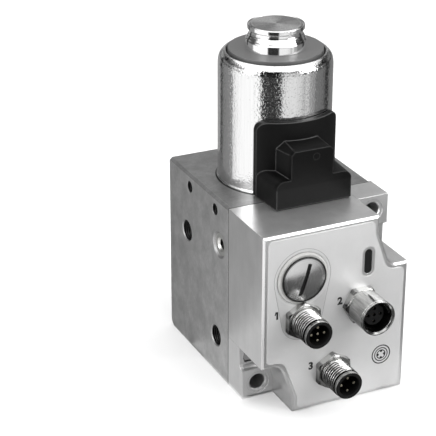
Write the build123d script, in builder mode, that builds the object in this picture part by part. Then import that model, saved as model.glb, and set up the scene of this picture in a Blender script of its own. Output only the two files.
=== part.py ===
from build123d import *
import math
import os

os.makedirs("parts", exist_ok=True)

# Electro pneumatic regulator, millimetres, +Z up.
# The connector side faces -Y and the side with the ports faces -X.
# The origin is on the base, in the middle of the space the regulator takes up.

# Driving dimensions of the two blocks
body_width = 64.0
body_height = 79.0
valve_depth = 57.5
housing_depth = 30.5
gasket_thickness = 0.5
connector_reach = 14.8
solenoid_setback = 24.0

# Front housing
housing_wall = 3.0
notch_width = 13.8
notch_height = 22.3
slant_start = 8.1
slant_rise = 6.7
notch_inner_round = 5.0
notch_outer_round = 6.0
foot_height = 12.7
foot_thickness = 13.1
lug_thickness = 10.2
lug_round = 2.6
housing_edge = 0.8
foot_hole_radius = 3.3
foot_hole_inset_x = 7.0
foot_hole_height = 6.35
foot_spot_radius = 4.9
foot_spot_depth = 0.4
foot_hole_chamfer = 0.5

# Screws that hold the housing to the valve block
housing_screw_radius = 2.5
housing_screw_head_radius = 4.25
housing_screw_head_height = 5.0
housing_screw_grip = 6.0
housing_screw_inset_x = 6.4
housing_screw_sink = 0.5
housing_screw_socket = 4.0
screw_pocket_radius = 4.6

# Fits
fit_gap = 0.05
run_gap = 0.3
slide_gap = 0.05
seat_gap = 0.1

# Front label
label_thickness = 0.25
label_inset = 1.8
label_round = 2.0

# Status window
window_inset = 18.2
window_drop = 18.6
window_width = 3.2
window_length = 10.4
window_border = 1.2
window_flange_thickness = 1.2

# Screw plug over the address switches
left_column_inset = 16.8
plug_drop = 19.6
plug_thread_radius = 8.0
plug_thread_length = 6.5
plug_wall = 1.3
plug_flange_radius = 9.3
plug_flange_thickness = 0.6
plug_dome_rise = 0.8
plug_slot_width = 1.2
plug_slot_length = 13.5
plug_slot_depth = 1.0
plug_slot_angle = 72.0
plug_seal_radius = 10.8
plug_seal_thickness = 1.2
plug_boss_wall = 1.7
plug_boss_length = 5.0

# Round connectors: two with pins, one with sockets
connector_thread_radius = 6.0
connector_hex_across = 14.0
connector_hex_height = 3.2
connector_lip_radius = 5.75
connector_lip_length = 1.5
connector_groove_radius = 5.35
connector_groove_width = 0.8
connector_bore_radius = 4.9
connector_rim_radius = 5.4
connector_rim_depth = 0.8
connector_cup_wall = 0.5
connector_cup_depth = 8.5
connector_rear_length = 6.5
connector_nut_height = 2.2
connector_seal_depth = 1.0
connector_seal_width = 1.0
socket_barrel_radius = 7.25
socket_bore_radius = 6.1
socket_mouth_chamfer = 0.7
socket_face_radius = 4.2
socket_face_setback = 3.6
contact_radius = 0.5
contact_circle_radius = 2.75
contact_setback = 1.4
contact_hole_radius = 0.75
connector_1_drop = 37.5
connector_2_inset = 21.2
connector_2_drop = 36.2
connector_3_x = -1.2
connector_3_height = 15.8

# Circuit board and what it carries
board_setback = 12.5
board_thickness = 1.6
board_margin = 1.0
post_radius = 2.8
post_inset = 7.0
board_screw_radius = 1.25
board_screw_head_radius = 2.4
board_screw_head_height = 1.5
board_screw_length = 6.0
switch_size = 7.4
switch_spacing = 8.0
switch_thickness = 3.5
rotor_radius = 2.6
rotor_length = 3.0
rotor_reach = 1.0
rotor_slot_width = 0.8
rotor_slot_depth = 0.7
led_size = 1.6
led_thickness = 0.9
led_spacing = 3.4
sensor_drop = 31.0
sensor_radius = 6.5
sensor_neck_radius = 4.5
sensor_neck_length = 3.0
sensor_stem_radius = 2.9
sensor_stem_length = 4.6
sensor_groove_radius = 2.0
sensor_groove_setback = 1.2
sensor_groove_width = 1.6
terminal_width = 12.0
terminal_height = 6.0
terminal_drop = 9.0

# Valve block bores
lower_bore_radius = 18.0
upper_bore_radius = 16.5
seat_shoulder = 36.0
chamber_drop = 17.0
pole_bore_radius = 11.0
valve_edge = 1.2
valve_back_round = 3.5
port_radius = 4.4
port_chamfer = 0.4
port_thread_depth = 15.0
port_passage_radius = 3.2
outlet_port_setback = 39.9
outlet_port_drop = 26.4
supply_port_setback = 11.6
supply_port_height = 16.9
gauge_port_setback = 8.6
gauge_port_drop = 19.5
gauge_port_radius = 4.9
gauge_port_chamfer = 0.8
gauge_insert_length = 9.0
gauge_insert_bore_radius = 2.2
bracket_hole_radius = 2.5
bracket_hole_depth = 10.0
bracket_hole_drop = 5.4
bracket_hole_setback = 12.4
bracket_hole_spacing = 24.5
exhaust_height = 7.0
exhaust_radius = 2.2
exhaust_filter_radius = 4.0
exhaust_filter_thickness = 3.0

# Valve pieces inside the block
ring_groove_height = 1.0
ring_groove_width = 1.4
ring_groove_depth = 0.9
ring_thickness = 1.2
ring_width = 2.2
ring_gap_width = 9.0
bottom_land_height = 2.0
bottom_neck_radius = 14.0
bottom_seal_land_start = 9.4
bottom_top = 12.3
bottom_boss_radius = 9.0
bottom_boss_top = 15.0
seal_groove_depth = 1.5
seal_groove_width = 1.8
exhaust_chamber_radius = 4.5
exhaust_chamber_floor = 4.6
exhaust_chamber_top = 9.0
poppet_stem_radius = 3.0
poppet_bore_radius = 1.4
poppet_head_radius = 8.0
poppet_head_bottom = 23.6
poppet_head_thickness = 4.2
poppet_seal_thickness = 1.4
poppet_seal_inner_radius = 3.4
poppet_stroke = 1.2
seat_radius = 6.0
seat_thickness = 6.0
seat_lip_width = 1.0
seat_lip_height = 0.5
poppet_spring_radius = 5.4
poppet_spring_wire = 0.45
poppet_spring_turns = 4
push_rod_radius = 2.0

# Solenoid
can_radius = 23.1
can_wall = 1.4
can_lip_height = 53.4
can_shoulder_radius = 3.2
can_lip_inner_radius = 19.85
can_bead_height = 1.6
can_bead_reach = 0.35
base_plate_thickness = 4.0
top_disc_radius = 19.1
top_disc_rise = 1.1
top_disc_flange_drop = 4.8
top_disc_flange_thickness = 2.5
bobbin_wall = 1.2
bobbin_flange = 1.5
winding_radius = 20.6
bobbin_flange_radius = 21.3
pad_width = 10.0
pad_height = 7.6
pad_bottom = 7.2
pole_drop = 15.0
pole_rise = 13.0
pole_step_height = 4.0
tube_wall = 1.3
tube_head_height = 8.0
stud_radius = 8.0
stud_length = 6.0
armature_head_gap = 3.0
armature_bore_radius = 1.2
bush_radius = 3.6
lower_bush_length = 7.0
upper_bush_length = 4.6
spring_pocket_radius = 4.4
spring_pocket_rise = 5.0
return_spring_radius = 3.3
return_spring_wire = 0.35
return_spring_turns = 5
cap_collar_radius = 12.15
cap_collar_height = 3.4
cap_neck_radius = 10.6
cap_neck_height = 6.3
cap_flange_radius = 11.45
cap_flange_height = 8.2
cap_height = 9.6
cap_bevel = 0.4

# Plug moulding between the solenoid and the housing
shield_thickness = 2.4
shield_gap = 0.1
shield_half_angle = 43.0
shield_height = 31.4
shield_corner = 4.0
block_setback = 20.1
block_front_width = 32.9
block_rear_width = 35.0
block_height = 12.0
block_corner = 3.4
hood_x = -1.0
hood_width = 20.4
hood_front_width = 18.3
hood_height = 24.6
hood_corner = 3.2
hood_front_drop = 1.0
hood_front_corner = 1.4
hood_cavity_wall = 2.2
hood_cavity_width = 12.0
hood_cavity_height = 17.0
plug_gasket_thickness = 0.5
plug_gasket_inset = 0.4
lead_opening_width = 10.0
lead_opening_setback = 22.0
lead_opening_depth = 6.0
blade_spacing = 5.0
blade_thickness = 0.8
blade_height = 3.0
blade_tip_setback = 22.9
lead_radius = 0.6
lead_setback = 24.0

# Places worked out from the driving dimensions
left_x = -body_width / 2
right_x = body_width / 2
front_y = -(housing_depth + gasket_thickness + valve_depth - connector_reach) / 2
joint_y = front_y + housing_depth
valve_y = joint_y + gasket_thickness
back_y = valve_y + valve_depth
axis_y = valve_y + solenoid_setback
stem_plane = Plane.XZ.offset(-axis_y)
stem_axis = Axis((0, axis_y, 0), (0, 0, 1))
top_z = body_height
window_x = right_x - window_inset
window_height = top_z - window_drop
left_column_x = left_x + left_column_inset
plug_height = top_z - plug_drop
connector_1_height = top_z - connector_1_drop
connector_2_x = right_x - connector_2_inset
connector_2_height = top_z - connector_2_drop
sensor_height = top_z - sensor_drop
terminal_top = top_z - terminal_drop
chamber_top = top_z - chamber_drop
outlet_port_height = top_z - outlet_port_drop
gauge_port_height = top_z - gauge_port_drop
bracket_hole_height = top_z - bracket_hole_drop
pole_bottom = top_z - pole_drop
pole_top = top_z + pole_rise
spring_pocket_floor = top_z + spring_pocket_rise
foot_setback = housing_depth - foot_thickness
lug_setback = housing_depth - lug_thickness
housing_screw_height = (foot_height + notch_height) / 2
screw_pocket_depth = housing_screw_sink + housing_screw_head_height
housing_screw_seat = lug_setback + screw_pocket_depth
board_back = board_setback + board_thickness
disc_top = top_z + can_lip_height + top_disc_rise
top_disc_flange_top = can_lip_height - top_disc_flange_drop
top_disc_flange_bottom = top_disc_flange_top - top_disc_flange_thickness
connector_seats = {
    "connector_1": (left_column_x, connector_1_height),
    "connector_2": (connector_2_x, connector_2_height),
    "connector_3": (connector_3_x, connector_3_height),
}
plug_bore_radius = plug_thread_radius + slide_gap
switch_heights = (plug_height - switch_spacing / 2, plug_height + switch_spacing / 2)
post_places = (
    (left_x + post_inset, body_height - post_inset),
    (right_x - notch_width - post_inset, body_height - post_inset),
    (left_x + notch_width + post_inset, post_inset),
    (right_x - post_inset, post_inset),
)


def setback_plane(depth):
    """Plane facing the connector side, the given depth behind the housing's front face."""
    return Plane.XZ.offset(-(front_y + depth))


def corner_places(inset_x, height):
    """A place in the lower left corner and its twin turned half a turn to the upper right one."""
    return (left_x + inset_x, height), (right_x - inset_x, body_height - height)


def notched_outline(inset):
    """Corners of the housing's front outline, each side moved inward by inset."""
    run = notch_width - slant_start
    drop = notch_height - slant_rise
    length = math.hypot(run, drop)
    normal_x = drop / length
    normal_z = run / length
    top_x = slant_start + inset * (1 - normal_z) / normal_x
    foot_z = notch_height + (inset - normal_x * (run + inset)) / normal_z
    half = [
        (left_x + inset, notch_height + inset),
        (left_x + top_x, notch_height + inset),
        (left_x + notch_width + inset, foot_z),
        (left_x + notch_width + inset, inset),
        (right_x - inset, inset),
    ]
    return half + [(-x, body_height - z) for x, z in half]


def notched_face(inset, corner_round=None):
    """Face inside the housing outline, each side moved inward by inset, with rounded notch corners."""
    points = notched_outline(inset)
    with BuildSketch() as outline:
        with BuildLine():
            Polyline(*points, close=True)
        make_face()
        for turn in (0, 5):
            fillet(outline.vertices().sort_by_distance(points[turn + 1])[0], notch_inner_round)
            fillet(outline.vertices().sort_by_distance(points[turn + 2])[0], notch_outer_round)
        if corner_round:
            for index in (0, 3, 4, 5, 8, 9):
                fillet(outline.vertices().sort_by_distance(points[index])[0], corner_round)
    return outline.sketch


def upright_profile(points):
    """Profile through the valve axis, from (radius, height) points."""
    with BuildSketch(stem_plane) as profile:
        with BuildLine():
            Polyline(*points, close=True)
        make_face()
    return profile.sketch


def ring_profile(inner, outer, bottom, top):
    """Profile of a plain ring about the valve axis."""
    return upright_profile([(inner, bottom), (outer, bottom), (outer, top), (inner, top)])


def forward_profile(center, points):
    """Profile through an axis that faces the connector side, from (radius, setback) points."""
    x, z = center
    with BuildSketch(Plane.XY.offset(z)) as profile:
        with BuildLine():
            Polyline(*[(x + radius, front_y + depth) for radius, depth in points], close=True)
        make_face()
    return profile.sketch


def forward_axis(center):
    """Axis from front to back through a place on the housing's front."""
    x, z = center
    return Axis((x, 0, z), (0, 1, 0))


# Valve block: a machined block with a stepped bore up its middle and the ports in its left side.
with BuildPart() as valve_body:
    with BuildSketch(Plane.XY):
        with Locations((0, (valve_y + back_y) / 2)):
            Rectangle(body_width, valve_depth)
    extrude(amount=body_height)
    chamfer(valve_body.edges().filter_by(Axis.Y).group_by(Axis.Z)[-1], valve_edge)
    back_edges = valve_body.edges().filter_by(Axis.X).group_by(Axis.Z)[0]
    fillet(back_edges.sort_by(Axis.Y)[-1], valve_back_round)
    with BuildSketch(stem_plane):
        groove_radius = lower_bore_radius + ring_groove_depth
        groove_top = ring_groove_height + ring_groove_width
        with BuildLine():
            Polyline(
                (0, 0),
                (lower_bore_radius, 0),
                (lower_bore_radius, ring_groove_height),
                (groove_radius, ring_groove_height),
                (groove_radius, groove_top),
                (lower_bore_radius, groove_top),
                (lower_bore_radius, seat_shoulder),
                (upper_bore_radius, seat_shoulder),
                (upper_bore_radius, chamber_top),
                (pole_bore_radius, chamber_top),
                (pole_bore_radius, body_height),
                (0, body_height),
                close=True,
            )
        make_face()
    revolve(axis=stem_axis, mode=Mode.SUBTRACT)
    # Threaded ports in the left side, each with a narrower passage that breaks into the bore.
    insert_seat = gauge_port_chamfer + gauge_insert_length + fit_gap
    ports = (
        (outlet_port_setback, outlet_port_height, port_radius, port_chamfer, port_thread_depth),
        (supply_port_setback, supply_port_height, port_radius, port_chamfer, port_thread_depth),
        (gauge_port_setback, gauge_port_height, gauge_port_radius, gauge_port_chamfer, insert_seat),
    )
    for setback, height, radius, edge, depth in ports:
        with BuildSketch(Plane.YZ.offset(left_x)):
            with Locations((valve_y + setback, height)):
                Circle(port_passage_radius)
        extrude(amount=body_width / 2 - port_radius, mode=Mode.SUBTRACT)
        with BuildSketch(Plane.YZ.offset(left_x)):
            with Locations((valve_y + setback, height)):
                Circle(radius)
        extrude(amount=depth, mode=Mode.SUBTRACT)
        with BuildSketch(Plane.YZ.offset(left_x)):
            with Locations((valve_y + setback, height)):
                Circle(radius + edge)
        extrude(amount=edge, taper=45, mode=Mode.SUBTRACT)
    # Two blind bracket holes near the top of the left side.
    with BuildSketch(Plane.YZ.offset(left_x)):
        for step in (0, 1):
            hole_setback = bracket_hole_setback + step * bracket_hole_spacing
            with Locations((valve_y + hole_setback, bracket_hole_height)):
                Circle(bracket_hole_radius)
    extrude(amount=bracket_hole_depth, mode=Mode.SUBTRACT)
    # Exhaust drilling in the right side, with a wider mouth for the filter disc.
    with BuildSketch(Plane.YZ.offset(right_x)):
        with Locations((axis_y, exhaust_height)):
            Circle(exhaust_radius)
    extrude(amount=-body_width / 2, mode=Mode.SUBTRACT)
    with BuildSketch(Plane.YZ.offset(right_x)):
        with Locations((axis_y, exhaust_height)):
            Circle(exhaust_filter_radius)
    extrude(amount=-exhaust_filter_thickness, mode=Mode.SUBTRACT)
    # Mounting bolts pass right through, housing screws end in blind holes.
    with BuildSketch(Plane.XZ.offset(-valve_y)):
        for x, z in corner_places(foot_hole_inset_x, foot_hole_height):
            with Locations((x, z)):
                Circle(foot_hole_radius)
    extrude(amount=-valve_depth, mode=Mode.SUBTRACT)
    with BuildSketch(Plane.XZ.offset(-valve_y)):
        for x, z in corner_places(housing_screw_inset_x, housing_screw_height):
            with Locations((x, z)):
                Circle(housing_screw_radius + fit_gap)
    extrude(amount=-(housing_screw_grip + run_gap), mode=Mode.SUBTRACT)
    # Feed for the pressure sensor, from the front face into the outlet chamber.
    with BuildSketch(Plane.XZ.offset(-valve_y)):
        with Locations((0, sensor_height)):
            Circle(sensor_stem_radius + slide_gap)
    extrude(amount=-solenoid_setback, mode=Mode.SUBTRACT)
valve_body.part.label = "valve_body"
export_step(valve_body.part, "parts/valve_body.step")

# Drillings through the feet: mounting holes, spot faces, and the housing screws with their pockets.
with BuildPart() as foot_drillings:
    with BuildSketch(setback_plane(foot_setback)):
        for x, z in corner_places(foot_hole_inset_x, foot_hole_height):
            with Locations((x, z)):
                Circle(foot_spot_radius)
    extrude(amount=-foot_spot_depth)
    with BuildSketch(setback_plane(foot_setback)):
        for x, z in corner_places(foot_hole_inset_x, foot_hole_height):
            with Locations((x, z)):
                Circle(foot_hole_radius)
    extrude(amount=-foot_thickness)
    with BuildSketch(setback_plane(lug_setback)):
        for x, z in corner_places(housing_screw_inset_x, housing_screw_height):
            with Locations((x, z)):
                Circle(screw_pocket_radius)
    extrude(amount=-screw_pocket_depth)
    with BuildSketch(setback_plane(lug_setback)):
        for x, z in corner_places(housing_screw_inset_x, housing_screw_height):
            with Locations((x, z)):
                Circle(housing_screw_radius + fit_gap)
    extrude(amount=-lug_thickness)

# Feet: a stepped block in each notch, with a light spot face round its mounting hole.
with BuildPart() as housing_feet:
    for side in (-1, 1):
        lug = [
            (foot_setback, 0),
            (foot_setback, foot_height),
            (lug_setback, foot_height),
            (lug_setback, notch_height),
            (housing_depth, notch_height),
            (housing_depth, 0),
        ]
        with BuildSketch(Plane.YZ.offset(side * body_width / 2)) as lug_side:
            points = [(front_y + depth, z if side < 0 else body_height - z) for depth, z in lug]
            with BuildLine():
                Polyline(*points, close=True)
            make_face()
            fillet(lug_side.vertices().sort_by_distance(points[2])[0], lug_round)
        extrude(amount=-side * notch_width)
    with BuildSketch(setback_plane(0)):
        add(notched_face(0))
    extrude(amount=-housing_depth, mode=Mode.SUBTRACT)
    add(foot_drillings.part, mode=Mode.SUBTRACT)
    spot_y = front_y + foot_setback + foot_spot_depth
    hole_rims = housing_feet.edges().filter_by(GeomType.CIRCLE)
    hole_rims = hole_rims.filter_by_position(Axis.Y, spot_y - fit_gap, spot_y + fit_gap)
    chamfer(hole_rims.filter_by(lambda rim: rim.radius < foot_hole_radius + fit_gap), foot_hole_chamfer)
housing_feet.part.label = "housing_feet"
export_step(housing_feet.part, "parts/housing_feet.step")

# Front housing: a cast box open to the back, notched at two corners for the feet.
with BuildPart() as electronics_housing:
    with BuildSketch(setback_plane(0)):
        add(notched_face(0))
    extrude(amount=-housing_depth)
    front_edges = electronics_housing.faces().sort_by(Axis.Y)[0].edges()
    chamfer(front_edges, housing_edge)
    with BuildSketch(setback_plane(housing_wall)):
        add(notched_face(housing_wall))
    extrude(amount=-(housing_depth - housing_wall), mode=Mode.SUBTRACT)
    add(foot_drillings.part, mode=Mode.SUBTRACT)
    # Posts for the circuit board and the threaded boss for the screw plug.
    with BuildSketch(setback_plane(housing_wall)):
        with Locations(*post_places):
            Circle(post_radius)
    extrude(amount=-(board_setback - housing_wall))
    with BuildSketch(setback_plane(housing_wall)):
        with Locations((left_column_x, plug_height)):
            Circle(plug_bore_radius + plug_boss_wall)
    extrude(amount=-plug_boss_length)
    with BuildSketch(setback_plane(0)):
        with Locations((left_column_x, plug_height)):
            Circle(plug_bore_radius)
    extrude(amount=-(housing_wall + plug_boss_length), mode=Mode.SUBTRACT)
    with BuildSketch(setback_plane(board_setback)):
        with Locations(*post_places):
            Circle(board_screw_radius + fit_gap)
    extrude(amount=board_screw_length, mode=Mode.SUBTRACT)
    # Openings in the front wall for the connectors and the status window, and in the top for the leads.
    with BuildSketch(setback_plane(0)):
        for place in connector_seats.values():
            with Locations(place):
                Circle(connector_thread_radius + fit_gap)
        with Locations((window_x, window_height)):
            SlotOverall(window_length + 2 * fit_gap, window_width + 2 * fit_gap, rotation=90)
    extrude(amount=-housing_wall, mode=Mode.SUBTRACT)
    with BuildSketch(Plane.XY.offset(body_height)):
        with Locations((0, front_y + lead_opening_setback + lead_opening_depth / 2)):
            Rectangle(lead_opening_width, lead_opening_depth)
    extrude(amount=-housing_wall, mode=Mode.SUBTRACT)
electronics_housing.part.label = "electronics_housing"
export_step(electronics_housing.part, "parts/electronics_housing.step")

# Gasket between the housing and the valve block.
with BuildPart() as housing_gasket:
    with BuildSketch(Plane.XZ.offset(-joint_y)):
        with Locations((0, body_height / 2)):
            Rectangle(body_width, body_height)
    extrude(amount=-gasket_thickness)
    with BuildSketch(Plane.XZ.offset(-joint_y)):
        add(notched_face(housing_wall))
    extrude(amount=-gasket_thickness, mode=Mode.SUBTRACT)
    with BuildSketch(Plane.XZ.offset(-joint_y)):
        for x, z in corner_places(foot_hole_inset_x, foot_hole_height):
            with Locations((x, z)):
                Circle(foot_hole_radius + fit_gap)
        for x, z in corner_places(housing_screw_inset_x, housing_screw_height):
            with Locations((x, z)):
                Circle(housing_screw_radius + fit_gap)
    extrude(amount=-gasket_thickness, mode=Mode.SUBTRACT)
housing_gasket.part.label = "housing_gasket"
export_step(housing_gasket.part, "parts/housing_gasket.step")

# Socket head screws that hold the housing, sunk in the pockets beside the feet.
with BuildPart() as housing_screws:
    for x, z in corner_places(housing_screw_inset_x, housing_screw_height):
        with BuildSketch(setback_plane(lug_setback + housing_screw_sink)):
            with Locations((x, z)):
                Circle(housing_screw_head_radius)
        extrude(amount=-housing_screw_head_height)
        with BuildSketch(setback_plane(housing_screw_seat)):
            with Locations((x, z)):
                Circle(housing_screw_radius)
        extrude(amount=-(housing_depth + gasket_thickness + housing_screw_grip - housing_screw_seat))
        with BuildSketch(setback_plane(lug_setback + housing_screw_sink)):
            with Locations((x, z)):
                RegularPolygon(housing_screw_socket / 2, 6, major_radius=False)
        extrude(amount=-housing_screw_head_height / 2, mode=Mode.SUBTRACT)
housing_screws.part.label = "housing_screws"
export_step(housing_screws.part, "parts/housing_screws.step")

# Label foil on the front face, cut out round everything that stands through it.
with BuildPart() as front_label:
    with BuildSketch(setback_plane(0)):
        add(notched_face(label_inset, label_round))
        with Locations((left_column_x, plug_height)):
            Circle(plug_seal_radius + run_gap, mode=Mode.SUBTRACT)
        for place in connector_seats.values():
            with Locations(place):
                Circle(connector_thread_radius + run_gap, mode=Mode.SUBTRACT)
        with Locations((window_x, window_height)):
            border_length = window_length + 2 * window_border
            border_width = window_width + 2 * window_border
            SlotOverall(border_length, border_width, rotation=90, mode=Mode.SUBTRACT)
    extrude(amount=label_thickness)
front_label.part.label = "front_label"
export_step(front_label.part, "parts/front_label.step")

# Status window: a light guide with a flange behind the front wall.
with BuildPart() as status_window:
    window_back = board_setback - led_thickness - run_gap
    with BuildSketch(setback_plane(0)):
        with Locations((window_x, window_height)):
            SlotOverall(window_length, window_width, rotation=90)
    extrude(amount=-window_back)
    with BuildSketch(setback_plane(housing_wall)):
        with Locations((window_x, window_height)):
            flange_length = window_length + 2 * window_flange_thickness
            flange_width = window_width + 2 * window_flange_thickness
            SlotOverall(flange_length, flange_width, rotation=90)
    extrude(amount=-window_flange_thickness)
status_window.part.label = "status_window"
export_step(status_window.part, "parts/status_window.step")

# Sealing ring under the head of the screw plug.
plug_center = (left_column_x, plug_height)
with BuildPart() as plug_seal:
    profile = forward_profile(
        plug_center,
        [
            (plug_bore_radius + seat_gap, 0),
            (plug_seal_radius, 0),
            (plug_seal_radius, -plug_seal_thickness / 2),
            (plug_seal_radius - plug_seal_thickness / 2, -plug_seal_thickness),
            (plug_bore_radius + seat_gap, -plug_seal_thickness),
        ],
    )
    revolve(profile, axis=forward_axis(plug_center))
plug_seal.part.label = "plug_seal"
export_step(plug_seal.part, "parts/plug_seal.step")

# Screw plug: a domed head with a coin slot on a hollow threaded shank.
with BuildPart() as screw_plug:
    head_back = -(plug_seal_thickness + seat_gap)
    head_edge = head_back - plug_flange_thickness
    head_front = head_edge - plug_dome_rise
    dome_radius = (plug_flange_radius**2 + plug_dome_rise**2) / (2 * plug_dome_rise)
    dome_mid_radius = plug_flange_radius / 2
    dome_mid_rise = plug_dome_rise - dome_radius + math.sqrt(dome_radius**2 - dome_mid_radius**2)
    with BuildSketch(Plane.XY.offset(plug_height)):
        with BuildLine():
            Polyline(
                (left_column_x, front_y + head_front),
                (left_column_x, front_y),
                (left_column_x + plug_thread_radius - plug_wall, front_y),
                (left_column_x + plug_thread_radius - plug_wall, front_y + plug_thread_length),
                (left_column_x + plug_thread_radius, front_y + plug_thread_length),
                (left_column_x + plug_thread_radius, front_y + head_back),
                (left_column_x + plug_flange_radius, front_y + head_back),
                (left_column_x + plug_flange_radius, front_y + head_edge),
            )
            ThreePointArc(
                (left_column_x + plug_flange_radius, front_y + head_edge),
                (left_column_x + dome_mid_radius, front_y + head_edge - dome_mid_rise),
                (left_column_x, front_y + head_front),
            )
        make_face()
    revolve(axis=Axis((left_column_x, 0, plug_height), (0, 1, 0)))
    with BuildSketch(setback_plane(head_front)):
        with Locations(plug_center):
            SlotOverall(plug_slot_length, plug_slot_width, rotation=plug_slot_angle)
    extrude(amount=-plug_slot_depth, mode=Mode.SUBTRACT)
screw_plug.part.label = "screw_plug"
export_step(screw_plug.part, "parts/screw_plug.step")


# Connectors: a nickel shell with a hexagon, an insulating insert and its contacts.
contact_ring = [
    (contact_circle_radius, 0),
    (0, contact_circle_radius),
    (-contact_circle_radius, 0),
    (0, -contact_circle_radius),
]
pin_mouth = [
    (connector_bore_radius, -connector_reach + connector_rim_depth),
    (connector_rim_radius + fit_gap, -connector_reach + connector_rim_depth),
    (connector_rim_radius + fit_gap, -connector_reach),
]
groove_start = -connector_reach + connector_lip_length
groove_end = groove_start + connector_groove_width
pin_barrel = [
    (connector_lip_radius, -connector_reach),
    (connector_lip_radius, groove_start),
    (connector_groove_radius, groove_start),
    (connector_groove_radius, groove_end),
    (connector_thread_radius, groove_end),
    (connector_thread_radius, -connector_hex_height),
]
socket_mouth = [
    (connector_bore_radius, -connector_hex_height),
    (socket_bore_radius, -connector_hex_height),
    (socket_bore_radius, -connector_reach + socket_mouth_chamfer),
    (socket_bore_radius + socket_mouth_chamfer, -connector_reach),
]
socket_barrel = [
    (socket_barrel_radius, -connector_reach),
    (socket_barrel_radius, -connector_hex_height),
]
seal_outer_radius = connector_thread_radius + connector_seal_width
shell_rear = [
    (seal_outer_radius, -connector_hex_height),
    (seal_outer_radius, -label_thickness),
    (connector_thread_radius, -label_thickness),
    (connector_thread_radius, housing_wall + connector_rear_length),
    (connector_bore_radius, housing_wall + connector_rear_length),
]
insert_radius = connector_bore_radius - fit_gap / 2
insert_back = board_setback - run_gap
insert_rear = [(insert_radius, insert_back), (0, insert_back)]
cup_floor = -connector_reach + connector_cup_depth
cup_radius = connector_bore_radius - connector_cup_wall
pin_insert = [
    (0, cup_floor),
    (cup_radius, cup_floor),
    (cup_radius, -connector_reach),
    (connector_rim_radius, -connector_reach),
    (connector_rim_radius, -connector_reach + connector_rim_depth),
    (insert_radius, -connector_reach + connector_rim_depth),
]
socket_face = -connector_reach + socket_face_setback
socket_insert = [
    (0, socket_face),
    (socket_face_radius, socket_face),
    (socket_face_radius, -connector_hex_height),
    (insert_radius, -connector_hex_height),
]

for name, center in connector_seats.items():
    has_sockets = name == "connector_2"
    with BuildPart() as shell:
        front = socket_mouth + socket_barrel if has_sockets else pin_mouth + pin_barrel
        revolve(forward_profile(center, front + shell_rear), axis=forward_axis(center))
        with BuildSketch(setback_plane(-label_thickness)):
            with Locations(center):
                RegularPolygon(connector_hex_across / 2, 6, major_radius=False)
                Circle((connector_bore_radius + connector_thread_radius) / 2, mode=Mode.SUBTRACT)
        extrude(amount=connector_hex_height - label_thickness)
        with BuildSketch(setback_plane(-label_thickness)):
            with Locations(center):
                Circle(seal_outer_radius)
                Circle(connector_thread_radius, mode=Mode.SUBTRACT)
        extrude(amount=connector_seal_depth, mode=Mode.SUBTRACT)
    shell.part.label = f"{name}_shell"
    export_step(shell.part, f"parts/{shell.part.label}.step")

    places = contact_ring if name == "connector_3" else contact_ring + [(0, 0)]
    hole_radius = contact_hole_radius if has_sockets else contact_radius
    with BuildPart() as insert:
        front = socket_insert if has_sockets else pin_insert
        revolve(forward_profile(center, front + insert_rear), axis=forward_axis(center))
        with BuildSketch(setback_plane(insert_back)):
            with Locations(center):
                with Locations(*places):
                    Circle(hole_radius)
        extrude(amount=insert_back + connector_reach, mode=Mode.SUBTRACT)
    insert.part.label = f"{name}_insert"
    export_step(insert.part, f"parts/{insert.part.label}.step")

    tip = (socket_face if has_sockets else -connector_reach) + contact_setback
    with BuildPart() as contacts:
        with BuildSketch(setback_plane(board_setback)):
            with Locations(center):
                with Locations(*places):
                    Circle(hole_radius)
        extrude(amount=board_setback - tip)
        if has_sockets:
            with BuildSketch(setback_plane(tip)):
                with Locations(center):
                    with Locations(*places):
                        Circle(contact_radius)
            extrude(amount=-connector_cup_depth, mode=Mode.SUBTRACT)
    contacts.part.label = f"{name}_contacts"
    export_step(contacts.part, f"parts/{contacts.part.label}.step")

# Locknuts behind the front wall and sealing rings in the shells' seats.
with BuildPart() as connector_nuts:
    for center in connector_seats.values():
        with BuildSketch(setback_plane(housing_wall)):
            with Locations(center):
                RegularPolygon(connector_hex_across / 2, 6, major_radius=False)
                Circle(connector_thread_radius + fit_gap, mode=Mode.SUBTRACT)
        extrude(amount=-connector_nut_height)
connector_nuts.part.label = "connector_nuts"
export_step(connector_nuts.part, "parts/connector_nuts.step")

with BuildPart() as connector_seals:
    for center in connector_seats.values():
        with BuildSketch(setback_plane(-label_thickness)):
            with Locations(center):
                Circle(seal_outer_radius)
                Circle(connector_thread_radius, mode=Mode.SUBTRACT)
        extrude(amount=connector_seal_depth)
connector_seals.part.label = "connector_seals"
export_step(connector_seals.part, "parts/connector_seals.step")

# Circuit board on four posts, and its screws.
with BuildPart() as circuit_board:
    with BuildSketch(setback_plane(board_setback)):
        add(notched_face(housing_wall + board_margin))
        with Locations(*post_places):
            Circle(board_screw_radius + fit_gap, mode=Mode.SUBTRACT)
    extrude(amount=-board_thickness)
circuit_board.part.label = "circuit_board"
export_step(circuit_board.part, "parts/circuit_board.step")

with BuildPart() as board_screws:
    with BuildSketch(setback_plane(board_back)):
        with Locations(*post_places):
            Circle(board_screw_head_radius)
    extrude(amount=-board_screw_head_height)
    with BuildSketch(setback_plane(board_back)):
        with Locations(*post_places):
            Circle(board_screw_radius)
    extrude(amount=board_thickness + board_screw_length - run_gap)
board_screws.part.label = "board_screws"
export_step(board_screws.part, "parts/board_screws.step")

# Address switches: square bodies on the board, each with a rotor that faces the screw plug.
rotor_front = board_setback - switch_thickness - rotor_reach
with BuildPart() as switch_bodies:
    with BuildSketch(setback_plane(board_setback)):
        for height in switch_heights:
            with Locations((left_column_x, height)):
                Rectangle(switch_size, switch_size)
    extrude(amount=switch_thickness)
    with BuildSketch(setback_plane(board_setback - switch_thickness)):
        for height in switch_heights:
            with Locations((left_column_x, height)):
                Circle(rotor_radius + seat_gap)
    extrude(amount=-(rotor_length - rotor_reach + run_gap), mode=Mode.SUBTRACT)
switch_bodies.part.label = "switch_bodies"
export_step(switch_bodies.part, "parts/switch_bodies.step")

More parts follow.
